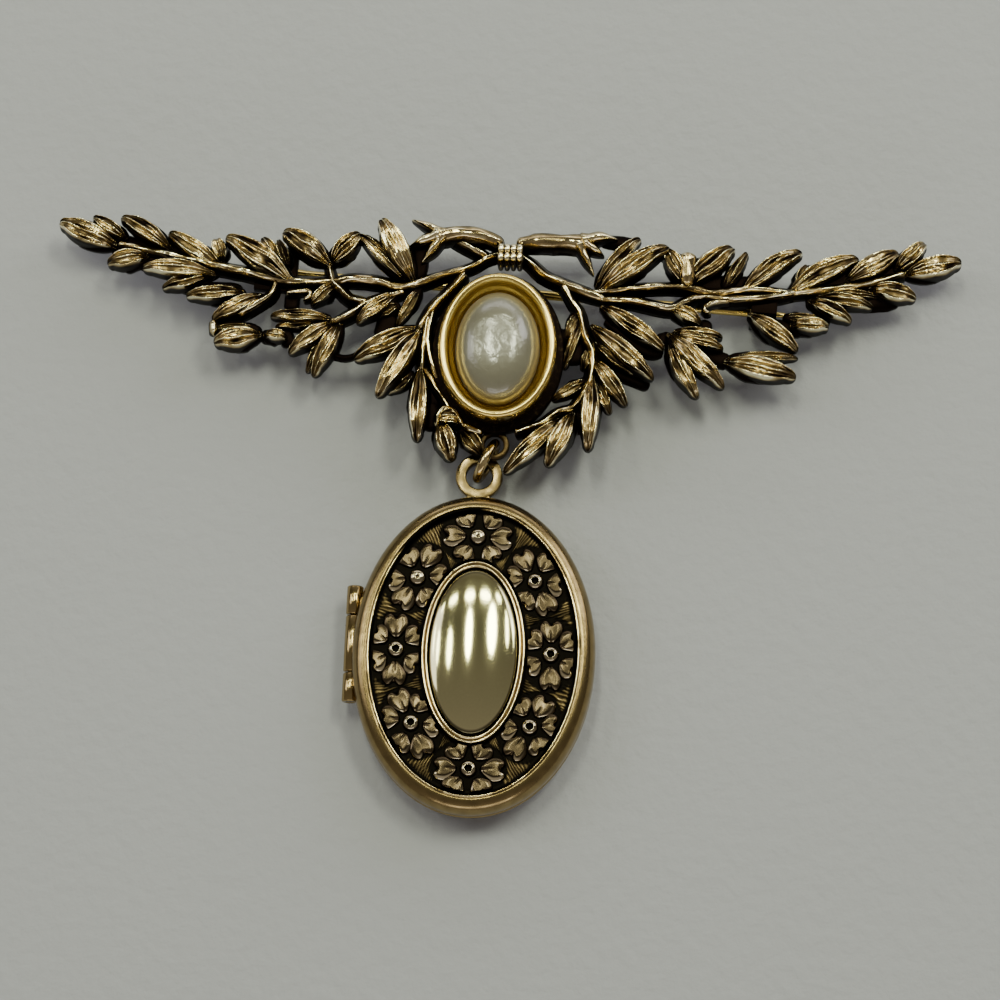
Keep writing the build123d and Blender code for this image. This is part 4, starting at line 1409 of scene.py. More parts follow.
# Ring lines and bed of the plaque, in millimetres from the border's inner edge and above its floor
RING_LINES = (
    Zone(0.0, 0.0, 0.05), Zone(0.05, 0.1, 0.4), Zone(0.12, 0.32, 0.95), Zone(0.2, 0.34, 0.95),
    Zone(0.27, 0.2, 0.35), Zone(0.33, 0.16, 0.22), Zone(0.39, 0.24, 0.6), Zone(0.46, 0.38, 0.98),
    Zone(0.54, 0.38, 0.95), Zone(0.6, 0.24, 0.3), Zone(0.66, 0.12, 0.08), Zone(0.78, 0.1, 0.06),
    Zone(0.86, 0.22, 0.1), Zone(1.8, 0.22, 0.1), Zone(4.4, 0.22, 0.1),
)
# The lower shell from the middle of its hollow, over the seam, to its foot: inset and height in millimetres
BACK_LEVELS = (
    Level(10.2, 0.8), Level(7.0, 0.8), Level(5.6, 0.85), Level(4.4, 1.0), Level(3.2, 1.35), Level(2.0, 1.9),
    Level(1.35, 2.35), Level(1.12, 2.52), Level(1.06, 2.6), Level(0.3, 2.6), Level(0.14, 2.57),
    Level(0.03, 2.45), Level(0.0, 2.25), Level(0.02, 1.95), Level(0.12, 1.55), Level(0.32, 1.2),
    Level(0.62, 0.88), Level(1.05, 0.58), Level(1.65, 0.3), Level(2.5, 0.1), Level(3.4, 0.02),
    Level(4.1, 0.0), Level(7.0, 0.0), Level(10.2, 0.0),
)


@dataclass
class Locket:
    """The oval locket: hollow back with its bail, and the cover with its relief.

    Attributes:
        hinge: the line that the cover turns on.
        border_floor: height of the border's floor above the seam.
        rim_width: breadth of the rolled rim.
        border_width: breadth of the floral border.
        flower_inset: from the outline in to the flowers' middles.
        flower_half: reach of a flower along the border and across it.
        petal_half: half breadth of a petal.
        notch: depth of the notch at its tip.
        petals: of one flower.
        petal_rise: height of the petals above the border.
        button_radius: of a flower's middle.
        button_rise: height of the middle.
        button_bore: radius of its hole.
        hatch: hatch lines round the border.
        back_seam: height of the lower shell's edge.
        seam: height of the cover's edge.
        half: half breadth and half length of the outline.
        middle: of the outline, in plan.
    """

    hinge: Hinge = field(default_factory=Hinge)
    border_floor: float = 1.85 * MM
    rim_width: float = 1.7 * MM
    border_width: float = 4.1 * MM
    flower_inset: float = 3.75 * MM
    flower_half: Vector = field(default_factory=lambda: Vector((3.2, 2.5)) * MM)
    petal_half: float = 1.1 * MM
    notch: float = 0.38 * MM
    petals: int = 6
    petal_rise: float = 0.45 * MM
    button_radius: float = 0.73 * MM
    button_rise: float = 0.6 * MM
    button_bore: float = 0.32 * MM
    hatch: int = 230
    back_seam: float = 2.6 * MM
    seam: float = field(init=False)
    half: Vector = field(init=False)
    middle: Vector = field(init=False)

    def __post_init__(self) -> None:
        """Reads the cover's outline from the frame."""
        low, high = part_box("locket_cover")
        self.half = Vector(((high.x - self.hinge.place.x) / 2, (high.y - low.y) / 2))
        self.middle = Vector((self.hinge.place.x + self.half.x, (high.y + low.y) / 2, 0))
        self.seam = self.hinge.place.z + 0.03 * MM

    def ring_spot(self, turn: float, inset: float, height: float) -> Vector:
        """A point on an oval inside the outline.

        Args:
            turn: angle in radians.
            inset: how far inside the outline.
            height: above the surface.

        Returns:
            The point.
        """
        core = self.half.x - self.rim_width - self.border_width - 0.6 * MM
        solid = self.half.x - core
        if inset <= solid:
            reach_x, reach_y = self.half.x - inset, self.half.y - inset
        else:
            size = max(self.half.x - inset, 0.0) / core
            reach_x, reach_y = core * size, (self.half.y - solid) * size
        return Vector((self.middle.x + reach_x * math.cos(turn), self.middle.y + reach_y * math.sin(turn),
                       height))

    @staticmethod
    def bead_darkening(turn: float) -> float:
        """How dark the bead is round the cover: at the head, and in spots elsewhere."""
        head = blend_between(math.cos(turn - 1.95), 0.86, 0.93)
        stray = noise.noise(Vector((math.cos(turn), math.sin(turn), 0.3)) * 6)
        return max(head, 0.5 * blend_between(stray, 0.1, 0.4))

    def in_border(self, spot: Vector) -> Vector:
        """Moves a point that lies past the rim or the plaque's ring back on the border, in plan."""
        off = (spot - self.middle).to_2d()
        margin = 0.16 * MM
        ring = self.rim_width + self.border_width
        for inset, outward in ((self.rim_width + margin, False), (ring - margin, True)):
            share = math.hypot(off.x / (self.half.x - inset), off.y / (self.half.y - inset))
            if (share < 1) == outward and share > 0:
                off = off / share
        return Vector((self.middle.x + off.x, self.middle.y + off.y, spot.z))

    def flower_distance(self, spot: Vector) -> float:
        """How far a place is from the nearest flower's middle, as a share of that flower's reach."""
        reach_x, reach_y = self.half.x - self.flower_inset, self.half.y - self.flower_inset
        nearest = math.inf
        off = (spot - self.middle).to_2d()
        for row in FLOWERS:
            away = off - Vector((row.x * reach_x, row.y * reach_y))
            way = Vector((-row.y * reach_x, row.x * reach_y)).normalized()
            along, across = away.dot(way), away.dot(Vector((-way.y, way.x)))
            nearest = min(nearest, math.hypot(along / self.flower_half.x, across / self.flower_half.y))
        return nearest

    def cover_zones(self) -> list[Zone]:
        """Levels of the cover from the middle of its hollow, over the rim, to the plaque's bed."""
        border = self.border_width - 0.1 * MM
        ring = self.rim_width + self.border_width
        wide = self.rim_width / RIM_UNIT
        rolled = []
        for share in (step / 17 for step in range(18)):
            lean = math.pi / 2 * share
            height = 0.55 + 1.6 * math.sin(lean) ** 0.9
            rolled.append(Zone(1.12 * (1 - math.cos(lean)), height, 0.55 - 0.1 * share))
        zones = [Zone(inset * MM, height * MM, patina) for inset, height, patina in HOLLOW]
        zones += [Zone(inset * wide, height * MM, patina)
                  for inset, height, patina in (*SEAM_EDGE, *rolled, *BEAD)]
        zones += [Zone(self.rim_width + border * step / 15, self.border_floor, 0.0) for step in range(1, 15)]
        zones += [Zone(ring + inset * MM, self.border_floor + height * MM, patina)
                  for inset, height, patina in RING_LINES]
        return zones

    def plaque(self, material: bpy.types.Material) -> None:
        """Builds the polished dome in the middle of the cover."""
        ring = self.rim_width + self.border_width + 0.74 * MM
        reach = self.half.x - ring
        under, edge, crown = 0.24 * MM, 0.3 * MM, 0.9 * MM

        def lay(turn: float, share: float) -> tuple[Vector, float]:
            """Lays a vertex on the plaque, from the middle of its underside over its edge to its crown."""
            if share < 0.09:
                inset, rise = ring + reach * (1 - share / 0.08), under
            else:
                inward = max((share - 0.1) / 0.9, 0.0)
                inset = ring + reach * inward
                rise = edge + crown * math.sin(inward * math.pi / 2) ** 0.8
            patina = 0.15 if share < 0.13 else 0.8
            return self.ring_spot(turn, max(inset, ring), self.seam + self.border_floor + rise), patina

        mould = Mould()
        mould.skin(200, 48, lay)
        mould.finish("cover_plaque", "cover", material, ["locket_cover"])

    def cover(self, material: bpy.types.Material) -> None:
        """Builds the cover's shell: hollow, rolled rim, hatched border, ring lines and the plaque's bed."""
        zones = self.cover_zones()
        border_from, border_to = self.rim_width, self.rim_width + self.border_width
        first_outside = len(HOLLOW) + len(SEAM_EDGE)
        bead_from, bead_to = 1.05, 1.4

        def lay(turn: float, share: float) -> tuple[Vector, float]:
            """Lays a vertex on the cover."""
            index = round(share * (len(zones) - 1))
            zone = zones[index]
            height, patina = self.seam + zone.height, zone.patina
            outside = index >= first_outside
            if outside and border_from < zone.inset < border_to and zone.height <= self.border_floor:
                ground = self.ring_spot(turn, zone.inset, 0.0)
                bare = blend_between(self.flower_distance(ground), 0.96, 1.06)
                stray = noise.noise(Vector((ground.x, ground.y, 0.0)) / MM * 1.1)
                line = 0.5 + 0.5 * math.cos(turn * self.hatch + 7.0 * stray)
                height += 0.07 * MM * line * bare
                patina += (0.13 + 0.26 * line * (0.8 + stray)) * bare
            spot = self.ring_spot(turn, zone.inset, height)
            if outside:
                patina += 0.08 * noise.noise(spot / MM * 1.3)
            # The bead is made darker at the cover's head and in spots.
            if outside and bead_from < zone.inset / self.rim_width * RIM_UNIT < bead_to:
                patina *= 1 - 0.9 * self.bead_darkening(turn)
            return self.hinge.clear(spot), patina

        mould = Mould()
        mould.skin(1200, len(zones) - 1, lay)
        half = self.hinge.middle_row / 2 - self.hinge.gap / 2
        self.hinge.knuckle(mould, -half, half)
        mould.finish("cover_shell", "cover", material, ["locket_cover"])

    def flowers(self, material: bpy.types.Material) -> None:
        """Builds the eight flowers of the border, each drawn out along it."""
        mould = Mould()
        reach = self.flower_inset
        reach_x, reach_y = self.half.x - reach, self.half.y - reach
        floor = self.seam + self.border_floor
        for row in FLOWERS:
            centre = Vector((self.middle.x + row.x * reach_x, self.middle.y + row.y * reach_y, floor))
            way = Vector((-row.y * reach_x, row.x * reach_y)).normalized()
            self._button(mould, centre, self.button_bore if row.bored else 0.0)
            dice = random.Random(f"{row.x}:{row.y}")
            for petal in range(self.petals):
                turn = math.tau * petal / self.petals + dice.uniform(-0.05, 0.05)
                along, across = math.cos(turn) * self.flower_half.x, math.sin(turn) * self.flower_half.y
                tip = (way * along + Vector((-way.y, way.x)) * across) * dice.uniform(0.95, 1.03)
                self._petal(mould, centre, tip, dice.uniform(0.9, 1.04), petal + row.x * 7 + row.y)
        mould.finish("cover_flowers", "cover", material, ["locket_cover"])

    def _petal(self, mould: Mould, centre: Vector, reach: Vector, fullness: float, seed: float) -> None:
        """Adds one heart-shaped petal.

        Args:
            mould: the mesh.
            centre: the flower's middle, on the border's floor.
            reach: from the middle to the petal's tip, in plan.
            fullness: its breadth against a usual petal's.
            seed: tells petals apart.
        """
        way = reach.normalized()
        side = Vector((-way.y, way.x))
        start = self.button_radius + 0.2 * MM
        length = reach.length - start
        half = self.petal_half * fullness
        under = Vector((0, 0, 0.12 * MM))
        root, blade_from, notch_from = 0.44, 0.55, 0.55
        vein_half, cleft_half, notch_half = 0.07, 0.12, 0.3
        crown, vein_depth, cleft_depth, wave_height = 0.92, 0.22, 0.4, 0.13

        def place(along: float, turn: float) -> tuple[Vector, float]:
            """Lays a vertex of the ball on the petal."""
            turn = over_the_top(turn, 0.75)
            ends = math.sqrt(max(1 - along ** 6, 0.0)) * math.sqrt(max(1 - (1 - along) ** 9, 0.0))
            lateral = (root + (1 - root) * blend_between(along, 0.0, blade_from)) * ends * math.cos(turn)
            notch = self.notch * blend_between(along, notch_from, 0.95)
            notch *= math.exp(-(lateral / notch_half) ** 2)
            flat = way * (start + length * along - notch) + side * half * lateral
            spot = self.in_border(centre + Vector((flat.x, flat.y, 0.0)))
            if turn < 0:
                return spot - under, 0.0
            arch = math.sin(turn)
            plateau = min(arch / 0.86, 1.0) ** 0.7 * min(ends * 1.1, 1.0)
            vein = math.exp(-(lateral / vein_half) ** 2) * (1 - blend_between(along, 0.15, 0.55)) * fullness
            cleft = math.exp(-(lateral / cleft_half) ** 2) * blend_between(along, 0.75, 0.97)
            wave = noise.noise(Vector((seed * 3.7 + flat.x / MM * 0.8, flat.y / MM * 0.8, seed)))
            height = plateau * (crown - vein_depth * vein - cleft_depth * cleft + wave_height * wave)
            # Painted highlight: the petal's sloping edge is lightened where it faces the front, towards -Y.
            outward = side * math.cos(turn) + way * (2 * along - 1) ** 3
            bevel = blend_between(plateau, 0.3, 0.6) * (1 - blend_between(plateau, 0.88, 1.0))
            bevel *= max(-outward.y, 0.0)
            patina = 0.46 * blend_between(plateau, 0.45, 0.85) * (1 - 0.7 * min(0.6 * vein + cleft, 1.0))
            patina += 0.6 * bevel + 0.08 * wave
            spot.z += self.petal_rise * height
            return spot, max(patina, 0.0)

        mould.ball(56, 30, place)

    def _button(self, mould: Mould, centre: Vector, bore: float) -> None:
        """Adds a flower's middle: a dome, bored through or dimpled.

        Args:
            mould: the mesh.
            centre: the flower's middle, on the border's floor.
            bore: radius of the hole, or none.
        """
        outer = self.button_radius
        inner = bore if bore > 0 else 0.16 * MM
        depth = 0.05 * MM if bore > 0 else self.button_rise * 0.78
        rounding, foot = 0.07 * MM, -0.12 * MM

        def lay(turn: float, share: float) -> tuple[Vector, float]:
            """Lays a vertex on the dome, from its middle out."""
            reach = outer * share
            dome = math.sqrt(max(1 - share ** 3.0, 0.0))
            height = self.button_rise * dome
            patina = 0.2 + 0.55 * blend_between(dome, 0.3, 0.85)
            if reach < inner:
                rise = blend_between(reach, inner - rounding, inner)
                height = depth + (height - depth) * rise * (1.0 if bore > 0 else 0.5)
                patina *= rise if bore > 0 else 0.6
            if share >= 1.0:
                height = foot
            return centre + Vector((reach * math.cos(turn), reach * math.sin(turn), height)), patina

        mould.skin(64, 22, lay)

    def back(self, material: bpy.types.Material) -> None:
        """Builds the lower shell with its bail and outer knuckles."""
        def lay(turn: float, share: float) -> tuple[Vector, float]:
            """Lays a vertex on the shell, from the middle of its hollow, over the seam, to its foot."""
            level = BACK_LEVELS[round(share * (len(BACK_LEVELS) - 1))]
            spot = self.ring_spot(turn, level.reach * MM, level.rise * MM)
            return self.hinge.clear(spot), 0.55 if level.rise > 0.9 else 0.68

        mould = Mould()
        mould.skin(256, len(BACK_LEVELS) - 1, lay)
        self._bail(mould)
        edge = self.hinge.middle_row / 2 + self.hinge.gap / 2
        self.hinge.knuckle(mould, edge, self.hinge.row / 2)
        self.hinge.knuckle(mould, -self.hinge.row / 2, -edge)
        mould.finish("back_shell", "brooch", material, ["locket_back"])

    def _bail(self, mould: Mould) -> None:
        """Adds the flat ring at the locket's head, and its neck."""
        hole, rim, thick, sink, aside = 1.1 * MM, 0.9 * MM, 0.8 * MM, 0.05 * MM, 0.2 * MM
        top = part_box("locket_back")[1].y
        centre = Vector((self.middle.x - aside, top - hole - rim, self.back_seam - sink - thick / 2))

        mould.flat_ring(centre, hole, rim, thick, 0.3, (96, 28), (0.28, 0.14, 0.15))
        half = 1.15 * MM
        foot = top - 2 * (hole + rim) - 0.6 * MM
        head = centre.y - hole - 0.15 * MM
        neck = [Vector((centre.x + x * half, y, centre.z - thick / 2))
                for x, y in ((-1, foot), (1, foot), (0.8, head), (-0.8, head))]
        mould.plate(neck, thick * 0.96, 0.12 * MM, 0.4)


@dataclass
class Findings:
    """The jump ring, the hinge wire and the brooch pin with its ears and catch.

    Attributes:
        wire: radius of the pin's wire, the rivet and the jump ring's wire.
        hinge_radius: of the locket's hinge wire.
        run: length of the pin from its rivet to its point.
        root, point: length of its thick root and of its point.
        pin_bore, pin_eye: radius of the hole in its eye, and of the eye.
        ear_gap, ear_thickness: between the pin's two ears, and of one ear.
        ear_plate: size of the plate under the ears.
        catch, catch_wall: size of the catch, and of one of its walls.
        catch_back, catch_roof: from the pin's point back to the catch, and from its middle to the roof.
    """

    wire: float = 0.4 * MM
    hinge_radius: float = 0.3 * MM
    run: float = 45.3 * MM
    root: float = 2.4 * MM
    point: float = 4.5 * MM
    pin_bore: float = 0.46 * MM
    pin_eye: float = 1.05 * MM
    ear_gap: float = 1.5 * MM
    ear_thickness: float = 0.7 * MM
    ear_plate: Vector = field(default_factory=lambda: Vector((3.6, 4.0, 0)) * MM)
    catch: Vector = field(default_factory=lambda: Vector((2.2, 2.2, 0)) * MM)
    catch_wall: Vector = field(default_factory=lambda: Vector((2.2, 0.6, 0)) * MM)
    catch_back: float = 3.35 * MM
    catch_roof: float = 0.75 * MM

    def jump_ring(self, material: bpy.types.Material) -> None:
        """Builds the round ring that stands through the eye and the bail."""
        low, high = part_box("jump_ring")
        middle = (low + high) / 2
        reach = (high.z - low.z) / 2 - self.wire
        across = Vector((low.x - high.x + 2 * self.wire, low.y - high.y + 2 * self.wire, 0)).normalized()
        axis = across.cross(Vector((0, 0, 1)))
        mould = Mould()
        turned = Matrix((across, Vector((0, 0, 1)), axis)).transposed().to_4x4()
        start = Matrix.Translation(middle) @ turned @ Matrix.Translation((reach, 0, 0))
        start @= Matrix.Rotation(math.pi / 2, 4, "X")
        made = bmesh.ops.create_circle(mould.bm, cap_ends=False, segments=28, radius=self.wire, matrix=start)
        rim = list({edge for vert in made["verts"] for edge in vert.link_edges})
        bmesh.ops.spin(mould.bm, geom=made["verts"] + rim, cent=middle, axis=axis, angle=math.tau, steps=96,
                       use_merge=True)
        bmesh.ops.remove_doubles(mould.bm, verts=mould.bm.verts, dist=0.002 * MM)
        for vert in mould.bm.verts:
            vert[mould.layer] = 0.62 + 0.3 * noise.noise(vert.co / MM * 0.8)
        mould.finish("jump_ring_wire", "brooch", material, ["jump_ring"])

    def hinge_wire(self, material: bpy.types.Material, hinge: Hinge) -> None:
        """Builds the wire through the locket's knuckles."""
        mould = Mould()
        half = Vector((0, hinge.row / 2, 0))
        mould.rod(self.hinge_radius, hinge.place - half, hinge.place + half, bevel=0.4, patina=0.4)
        mould.finish("hinge_wire", "brooch", material, ["locket_hinge_pin"])

    def pin(self, material: bpy.types.Material, joints: Sequence[dict]) -> None:
        """Builds the pin: an eye on the rivet, a tapered root, a wire and a point.

        Args:
            material: its finish.
            joints: the frame's joints, which give the rivet's place.
        """
        rivet, along, across = self.pin_line(joints)
        half = self.ear_gap / 2 - 0.12 * MM
        turned = Matrix((along, Vector((0, 0, 1)), across)).transposed()
        mould = Mould()
        mould.barrel(rivet, turned, self.pin_bore, self.pin_eye, (-half, half), 48, 0.7)
        lap, root_start, tip = 0.1 * MM, 0.9 * MM, 0.1 * MM
        root, point, end = (rivet + along * way for way in (self.root, self.run - self.point, self.run))
        mould.rod(0.55 * MM, rivet + along * root_start, root, last=self.wire, bevel=0.05)
        mould.rod(self.wire, root - along * lap, point, bevel=0.02)
        mould.rod(self.wire, point, end, last=tip, bevel=0.05)
        mould.finish("brooch_pin", "pin", material, ["pin_stem"])

    @staticmethod
    def pin_line(joints: Sequence[dict]) -> tuple[Vector, Vector, Vector]:
        """The rivet's place, the way along the pin and the way across it."""
        joint = next(row for row in joints if row["name"] == "pin_swing")
        across = Vector(joint["axis"]).normalized()
        return Vector(joint["pos_m"]), across.cross(Vector((0, 0, 1))), across

    def ears_and_catch(self, material: bpy.types.Material, chart: Chart,
                       joints: Sequence[dict]) -> None:
        """Builds the pin's hinge ears, their plate and rivet, and the catch.

        Args:
            material: their finish.
            chart: gives the height of the spray's back.
            joints: the frame's joints.
        """
        rivet, along, across = self.pin_line(joints)
        mould = Mould()
        back = chart.back_height(rivet.x)
        ear, thick = rivet.z, self.ear_thickness
        for hand in (-1, 1):
            middle = rivet + across * hand * (self.ear_gap + thick) / 2
            mould.rod(ear, middle - across * thick / 2, middle + across * thick / 2, bevel=0.08)
            self._box(mould, middle, along, across, Vector((2 * ear, thick, 0)), ear, back + 0.2 * MM)
        aside = across * 0.3 * MM
        self._box(mould, rivet - aside, along, across, self.ear_plate, back - 0.6 * MM, back + 0.25 * MM)
        half = across * (self.ear_gap + thick) / 2
        mould.rod(self.wire, rivet - half, rivet + half, bevel=0.1)
        reach = rivet + along * (self.run - self.catch_back)
        roof, high = rivet.z + self.catch_roof, chart.back_height(reach.x) + 0.5 * MM
        for hand in (-0.9, 0.9):
            self._box(mould, reach + across * hand * MM, along, across, self.catch_wall, 0.0, high)
        self._box(mould, reach, along, across, self.catch, roof, high)
        mould.finish("pin_ears_and_catch", "brooch", material, ["leaf_spray"])

    @staticmethod
    def _box(mould: Mould, middle: Vector, along: Vector, across: Vector, size: Vector, low: float,
             high: float) -> None:
        """Adds an upright block in line with the pin, from one height to another."""
        corners = [Vector((*(middle + along * x * size.x / 2 + across * y * size.y / 2).to_2d(), low))
                   for x, y in ((-1, -1), (1, -1), (1, 1), (-1, 1))]
        mould.plate(corners, high - low, 0.06 * MM, 0.0)


@dataclass(frozen=True)
class PearlFinish:
    """The imitation pearl's lacquer: grey cream under a clear coat, with a faintly wrinkled skin.

    Attributes:
        name: the material's name.
        shade: the darker of its two clouds.
        light: the lighter one.
        edge: colour towards the cup, a painted golden reflection of the cup round the pearl's edge.
        cloud: size of the clouds, in waves per metre.
        skin: size of the wrinkles, in waves per metre.
        wrinkle: depth of the wrinkles.
    """

    name: str = "pearl_lacquer"
    shade: Colour = (0.118, 0.109, 0.078)
    light: Colour = (0.16, 0.151, 0.112)
    edge: Colour = (0.2, 0.155, 0.075)
    cloud: float = 260.0
    skin: float = 1000.0
    wrinkle: float = 0.105 * MM

    def build(self) -> bpy.types.Material:
        """Makes the material."""
        material = bpy.data.materials.new(self.name)
        material.use_nodes = True
        nodes, links = material.node_tree.nodes, material.node_tree.links
        shader = set_inputs(nodes["Principled BSDF"], Roughness=0.28, Coat_Weight=0.65, Coat_Roughness=0.2,
                            Coat_IOR=2.0, Sheen_Weight=0.15, Sheen_Roughness=0.3)
        place = nodes.new("ShaderNodeTexCoord")
        cloud = set_inputs(nodes.new("ShaderNodeTexNoise"), Scale=self.cloud, Detail=4.0)
        links.new(place.outputs["Object"], cloud.inputs["Vector"])
        ramp = nodes.new("ShaderNodeValToRGB")
        stops = ramp.color_ramp.elements
        stops[0].position, stops[0].color = 0.35, (*self.shade, 1.0)
        stops[1].position, stops[1].color = 0.7, (*self.light, 1.0)
        links.new(cloud.outputs["Fac"], ramp.inputs["Fac"])
        # Mixes in the painted golden reflection of the cup where the patina attribute is high, towards the
        # pearl's edge.
        rim = nodes.new("ShaderNodeAttribute")
        rim.attribute_name = PATINA_AND_PAINTED_LIGHT
        cup_reflection_mix = nodes.new("ShaderNodeMix")
        cup_reflection_mix.data_type = "RGBA"
        links.new(rim.outputs["Fac"], cup_reflection_mix.inputs["Factor"])
        links.new(ramp.outputs["Color"], cup_reflection_mix.inputs["A"])
        cup_reflection_mix.inputs["B"].default_value = (*self.edge, 1.0)
        links.new(cup_reflection_mix.outputs["Result"], shader.inputs["Base Color"])
        skin = set_inputs(nodes.new("ShaderNodeTexNoise"), Scale=self.skin, Detail=3.0, Distortion=0.6)
        links.new(place.outputs["Object"], skin.inputs["Vector"])
        bump = roughen(material, skin, self.wrinkle, 0.5)
        links.new(bump.outputs["Normal"], shader.inputs["Coat Normal"])
        return material


class PaneRow(NamedTuple):
    """A pane of the ceiling light: its middle, breadth and depth as shares of its height, and its glow."""

    x: float
    y: float
    width: float
    depth: float
    glow: float


PANES = (
    PaneRow(-1.25, 0.42, 0.12, 0.3, 0.6), PaneRow(-0.95, 0.3, 0.1, 0.28, 0.8),
    PaneRow(-0.59, 0.25, 0.12, 0.28, 1.1), PaneRow(-0.14, 0.32, 0.14, 0.36, 1.9),
    PaneRow(0.38, 0.38, 0.2, 0.38, 1.8), PaneRow(0.79, 0.45, 0.1, 0.3, 1.0),
    PaneRow(1.14, 0.5, 0.08, 0.3, 0.8), PaneRow(-0.95, 0.66, 0.14, 0.08, 0.7),
    PaneRow(-0.58, 0.63, 0.24, 0.08, 1.0), PaneRow(-0.16, 0.61, 0.22, 0.09, 1.3),
    PaneRow(0.2, 0.62, 0.24, 0.09, 1.4), PaneRow(0.55, 0.67, 0.16, 0.09, 0.9),
)


class LampRow(NamedTuple):
    """A soft lamp that looks at the brooch: its name, place and size in metres, its power and its colour."""

    name: str
    spot: tuple[float, float, float]
    size: tuple[float, float]
    power: float
    colour: Colour


LAMPS = (
    LampRow("window", (0.46, 0.34, 0.3), (0.3, 0.34), 1.2, (1.0, 0.99, 0.97)),
    LampRow("fill", (-0.4, 0.1, 0.26), (0.24, 0.24), 0.4, (1.0, 0.99, 0.98)),
    LampRow("front", (0.05, -0.6, 0.2), (0.7, 0.14), 0.7, (1.0, 0.98, 0.95)),
    LampRow("rear", (0.0, 0.75, 0.3), (0.9, 0.22), 1.2, (1.0, 0.99, 0.97)),
)


class RoomStop(NamedTuple):
    """The room's colour at a share of the way from in front of the brooch to behind it."""

    position: float
    colour: Colour


ROOM = (
    RoomStop(0.1, (0.3, 0.275, 0.235)), RoomStop(0.55, (0.15, 0.14, 0.115)),
    RoomStop(0.66, (0.09, 0.09, 0.07)), RoomStop(0.82, (0.13, 0.12, 0.09)),
    RoomStop(0.97, (0.42, 0.42, 0.4)),
)


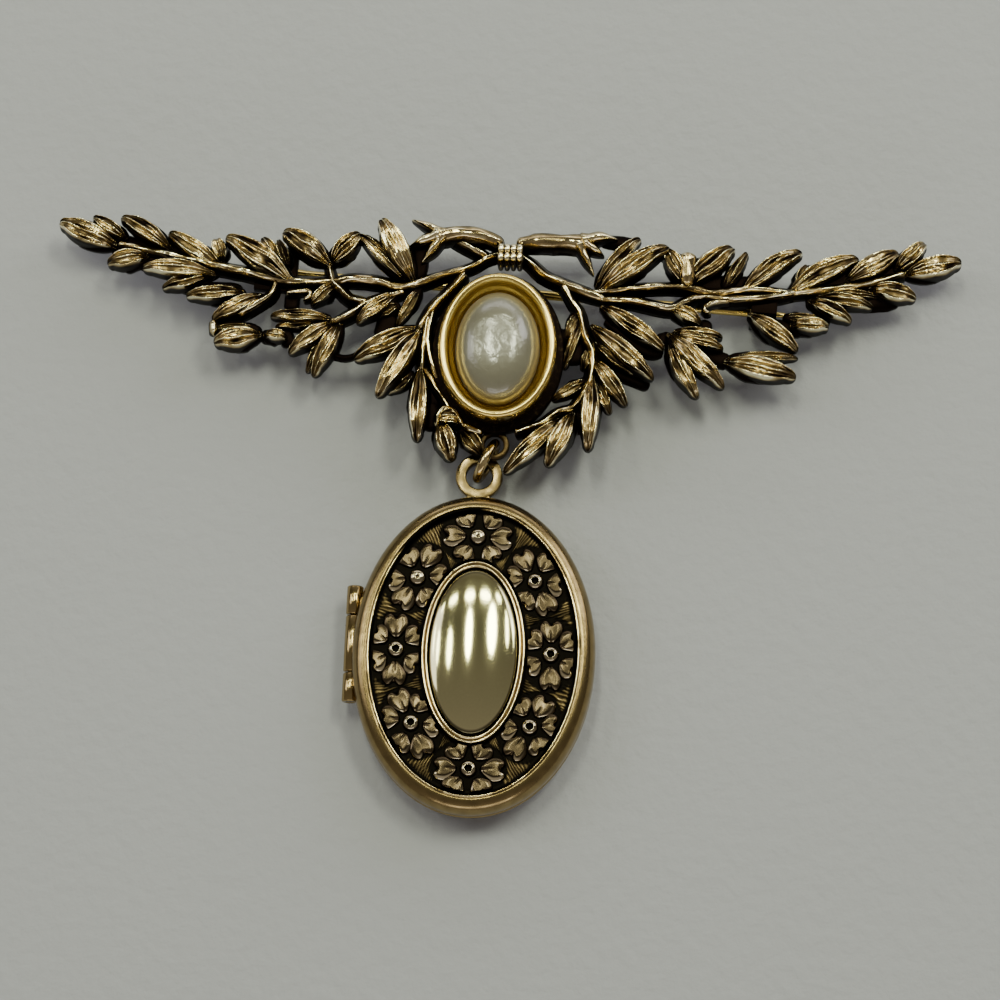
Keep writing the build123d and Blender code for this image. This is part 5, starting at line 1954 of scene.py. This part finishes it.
@dataclass
class Studio:
    """The floor, the lights and the camera.

    Attributes:
        elevation: of the camera, in degrees.
        azimuth: of the camera, in degrees.
        roll: of the camera, in degrees.
        distance: from the camera to the point that it looks at.
        lens: focal length on a 36 mm sensor, in millimetres.
        aim: the point in the middle of the picture.
        plaque: the locket's middle, from where the panes are placed.
        ceiling: height of the panes above it.
        pane_glow: power of the panes, in watts per square metre.
        pane_colour: of their light.
        board: half the breadth of the board.
        board_colour: of the board.
        board_grain: size of its grain, in waves per metre.
        board_bump: depth of its grain.
    """

    elevation: float = 76.0
    azimuth: float = 6.0
    roll: float = -3.817
    distance: float = 300 * MM
    lens: float = 127.632
    aim: Vector = field(default_factory=lambda: Vector((0.127, 1.418, 3.0)) * MM)
    plaque: Vector = field(default_factory=lambda: Vector((-1.54, -12.09, 5.0)) * MM)
    ceiling: float = 0.6
    pane_glow: float = 38.0
    pane_colour: Colour = (0.96, 1.0, 0.72)
    board: float = 0.6
    board_colour: Colour = (0.329, 0.334, 0.372)
    board_grain: float = 800.0
    board_bump: float = 0.5 * MM

    def camera(self) -> None:
        """Places the camera at the photograph's angle."""
        azimuth, elevation = math.radians(self.azimuth), math.radians(self.elevation)
        away = Vector((math.sin(azimuth) * math.cos(elevation), -math.cos(azimuth) * math.cos(elevation),
                       math.sin(elevation)))
        right = Vector((0, 0, 1)).cross(away).normalized()
        up = away.cross(right)
        level = Matrix((right, up, away)).transposed()
        turned = level @ Matrix.Rotation(math.radians(self.roll), 3, "Z")
        data = bpy.data.cameras.new("camera")
        data.lens = self.lens
        data.sensor_width = 36.0
        data.clip_start = 0.01
        data.clip_end = 5.0
        camera = bpy.data.objects.new("camera", data)
        camera.matrix_world = Matrix.Translation(self.aim + away * self.distance) @ turned.to_4x4()
        bpy.context.scene.collection.objects.link(camera)
        bpy.context.scene.camera = camera

    def floor(self) -> None:
        """Lays the pale board under the brooch."""
        mesh = bpy.data.meshes.new("board")
        bm = bmesh.new()
        bmesh.ops.create_grid(bm, x_segments=2, y_segments=2, size=self.board)
        bm.to_mesh(mesh)
        bm.free()
        material = bpy.data.materials.new("pale_board")
        material.use_nodes = True
        nodes, links = material.node_tree.nodes, material.node_tree.links
        set_inputs(nodes["Principled BSDF"], Base_Color=(*self.board_colour, 1.0), Roughness=0.85)
        grain = set_inputs(nodes.new("ShaderNodeTexNoise"), Scale=self.board_grain, Detail=3.0)
        links.new(nodes.new("ShaderNodeTexCoord").outputs["Object"], grain.inputs["Vector"])
        roughen(material, grain, self.board_bump, 0.35)
        mesh.materials.append(material)
        board = bpy.data.objects.new("board", mesh)
        bpy.context.scene.collection.objects.link(board)

    def panes(self) -> None:
        """Hangs the rows of ceiling panes that the plaque mirrors."""
        for number, pane in enumerate(PANES):
            data = bpy.data.lights.new(f"pane_{number}", "AREA")
            data.shape = "ELLIPSE"
            data.size, data.size_y = pane.width * self.ceiling, pane.depth * self.ceiling
            data.energy = self.pane_glow * data.size * data.size_y * pane.glow
            data.color = self.pane_colour
            lamp = bpy.data.objects.new(data.name, data)
            lamp.location = self.plaque + Vector((pane.x, pane.y, 1.0)) * self.ceiling
            bpy.context.scene.collection.objects.link(lamp)

    @staticmethod
    def lamps() -> None:
        """Hangs the soft lamps."""
        for row in LAMPS:
            data = bpy.data.lights.new(row.name, "AREA")
            data.shape = "RECTANGLE"
            data.size, data.size_y = row.size
            data.energy = row.power
            data.color = row.colour
            spot = Vector(row.spot)
            lamp = bpy.data.objects.new(row.name, data)
            turned = (-spot).to_track_quat("-Z", "Y").to_matrix().to_4x4()
            lamp.matrix_world = Matrix.Translation(spot) @ turned
            bpy.context.scene.collection.objects.link(lamp)

    @staticmethod
    def room(tree: bpy.types.NodeTree) -> None:
        """Shades the room from front to back: warm and pale behind the photographer, dim over the brooch.

        Args:
            tree: the world's nodes.
        """
        place = tree.nodes.new("ShaderNodeTexCoord")
        split = tree.nodes.new("ShaderNodeSeparateXYZ")
        ramp = tree.nodes.new("ShaderNodeValToRGB")
        stops = ramp.color_ramp.elements
        first, *between, last = ROOM
        stops[0].position, stops[0].color = first.position, (*first.colour, 1.0)
        stops[1].position, stops[1].color = last.position, (*last.colour, 1.0)
        for stop in between:
            stops.new(stop.position).color = (*stop.colour, 1.0)
        tree.links.new(place.outputs["Generated"], split.inputs[0])
        share = tree.nodes.new("ShaderNodeMapRange")
        share.inputs["From Min"].default_value = -1.0
        tree.links.new(split.outputs["Y"], share.inputs["Value"])
        tree.links.new(share.outputs["Result"], ramp.inputs["Fac"])
        tree.links.new(ramp.outputs["Color"], tree.nodes["Background"].inputs["Color"])

    def build(self) -> None:
        """Sets up floor, camera, lamps and surroundings."""
        self.floor()
        self.camera()
        self.panes()
        self.lamps()
        world = bpy.data.worlds.new("room")
        world.use_nodes = True
        self.room(world.node_tree)
        bpy.context.scene.world = world


def main() -> None:
    """Builds the brooch piece by piece, then the studio round it."""
    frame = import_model()
    antiqued, bright, polished = ANTIQUED.build(), BRIGHT.build(), POLISHED.build()
    chart = Chart()
    Casting(chart).build(antiqued)
    stone = Stone()
    stone.cup(bright)
    stone.pearl(PearlFinish().build())
    locket = Locket()
    locket.back(polished)
    locket.cover(polished)
    locket.flowers(STAMPED.build())
    locket.plaque(MIRROR.build())
    findings = Findings()
    findings.jump_ring(polished)
    findings.hinge_wire(polished, locket.hinge)
    findings.pin(bright, frame["joints"])
    findings.ears_and_catch(antiqued, chart, frame["joints"])
    Studio().build()


if __name__ == "__main__":
    logging.basicConfig(level=logging.INFO, format="%(message)s")
    main()
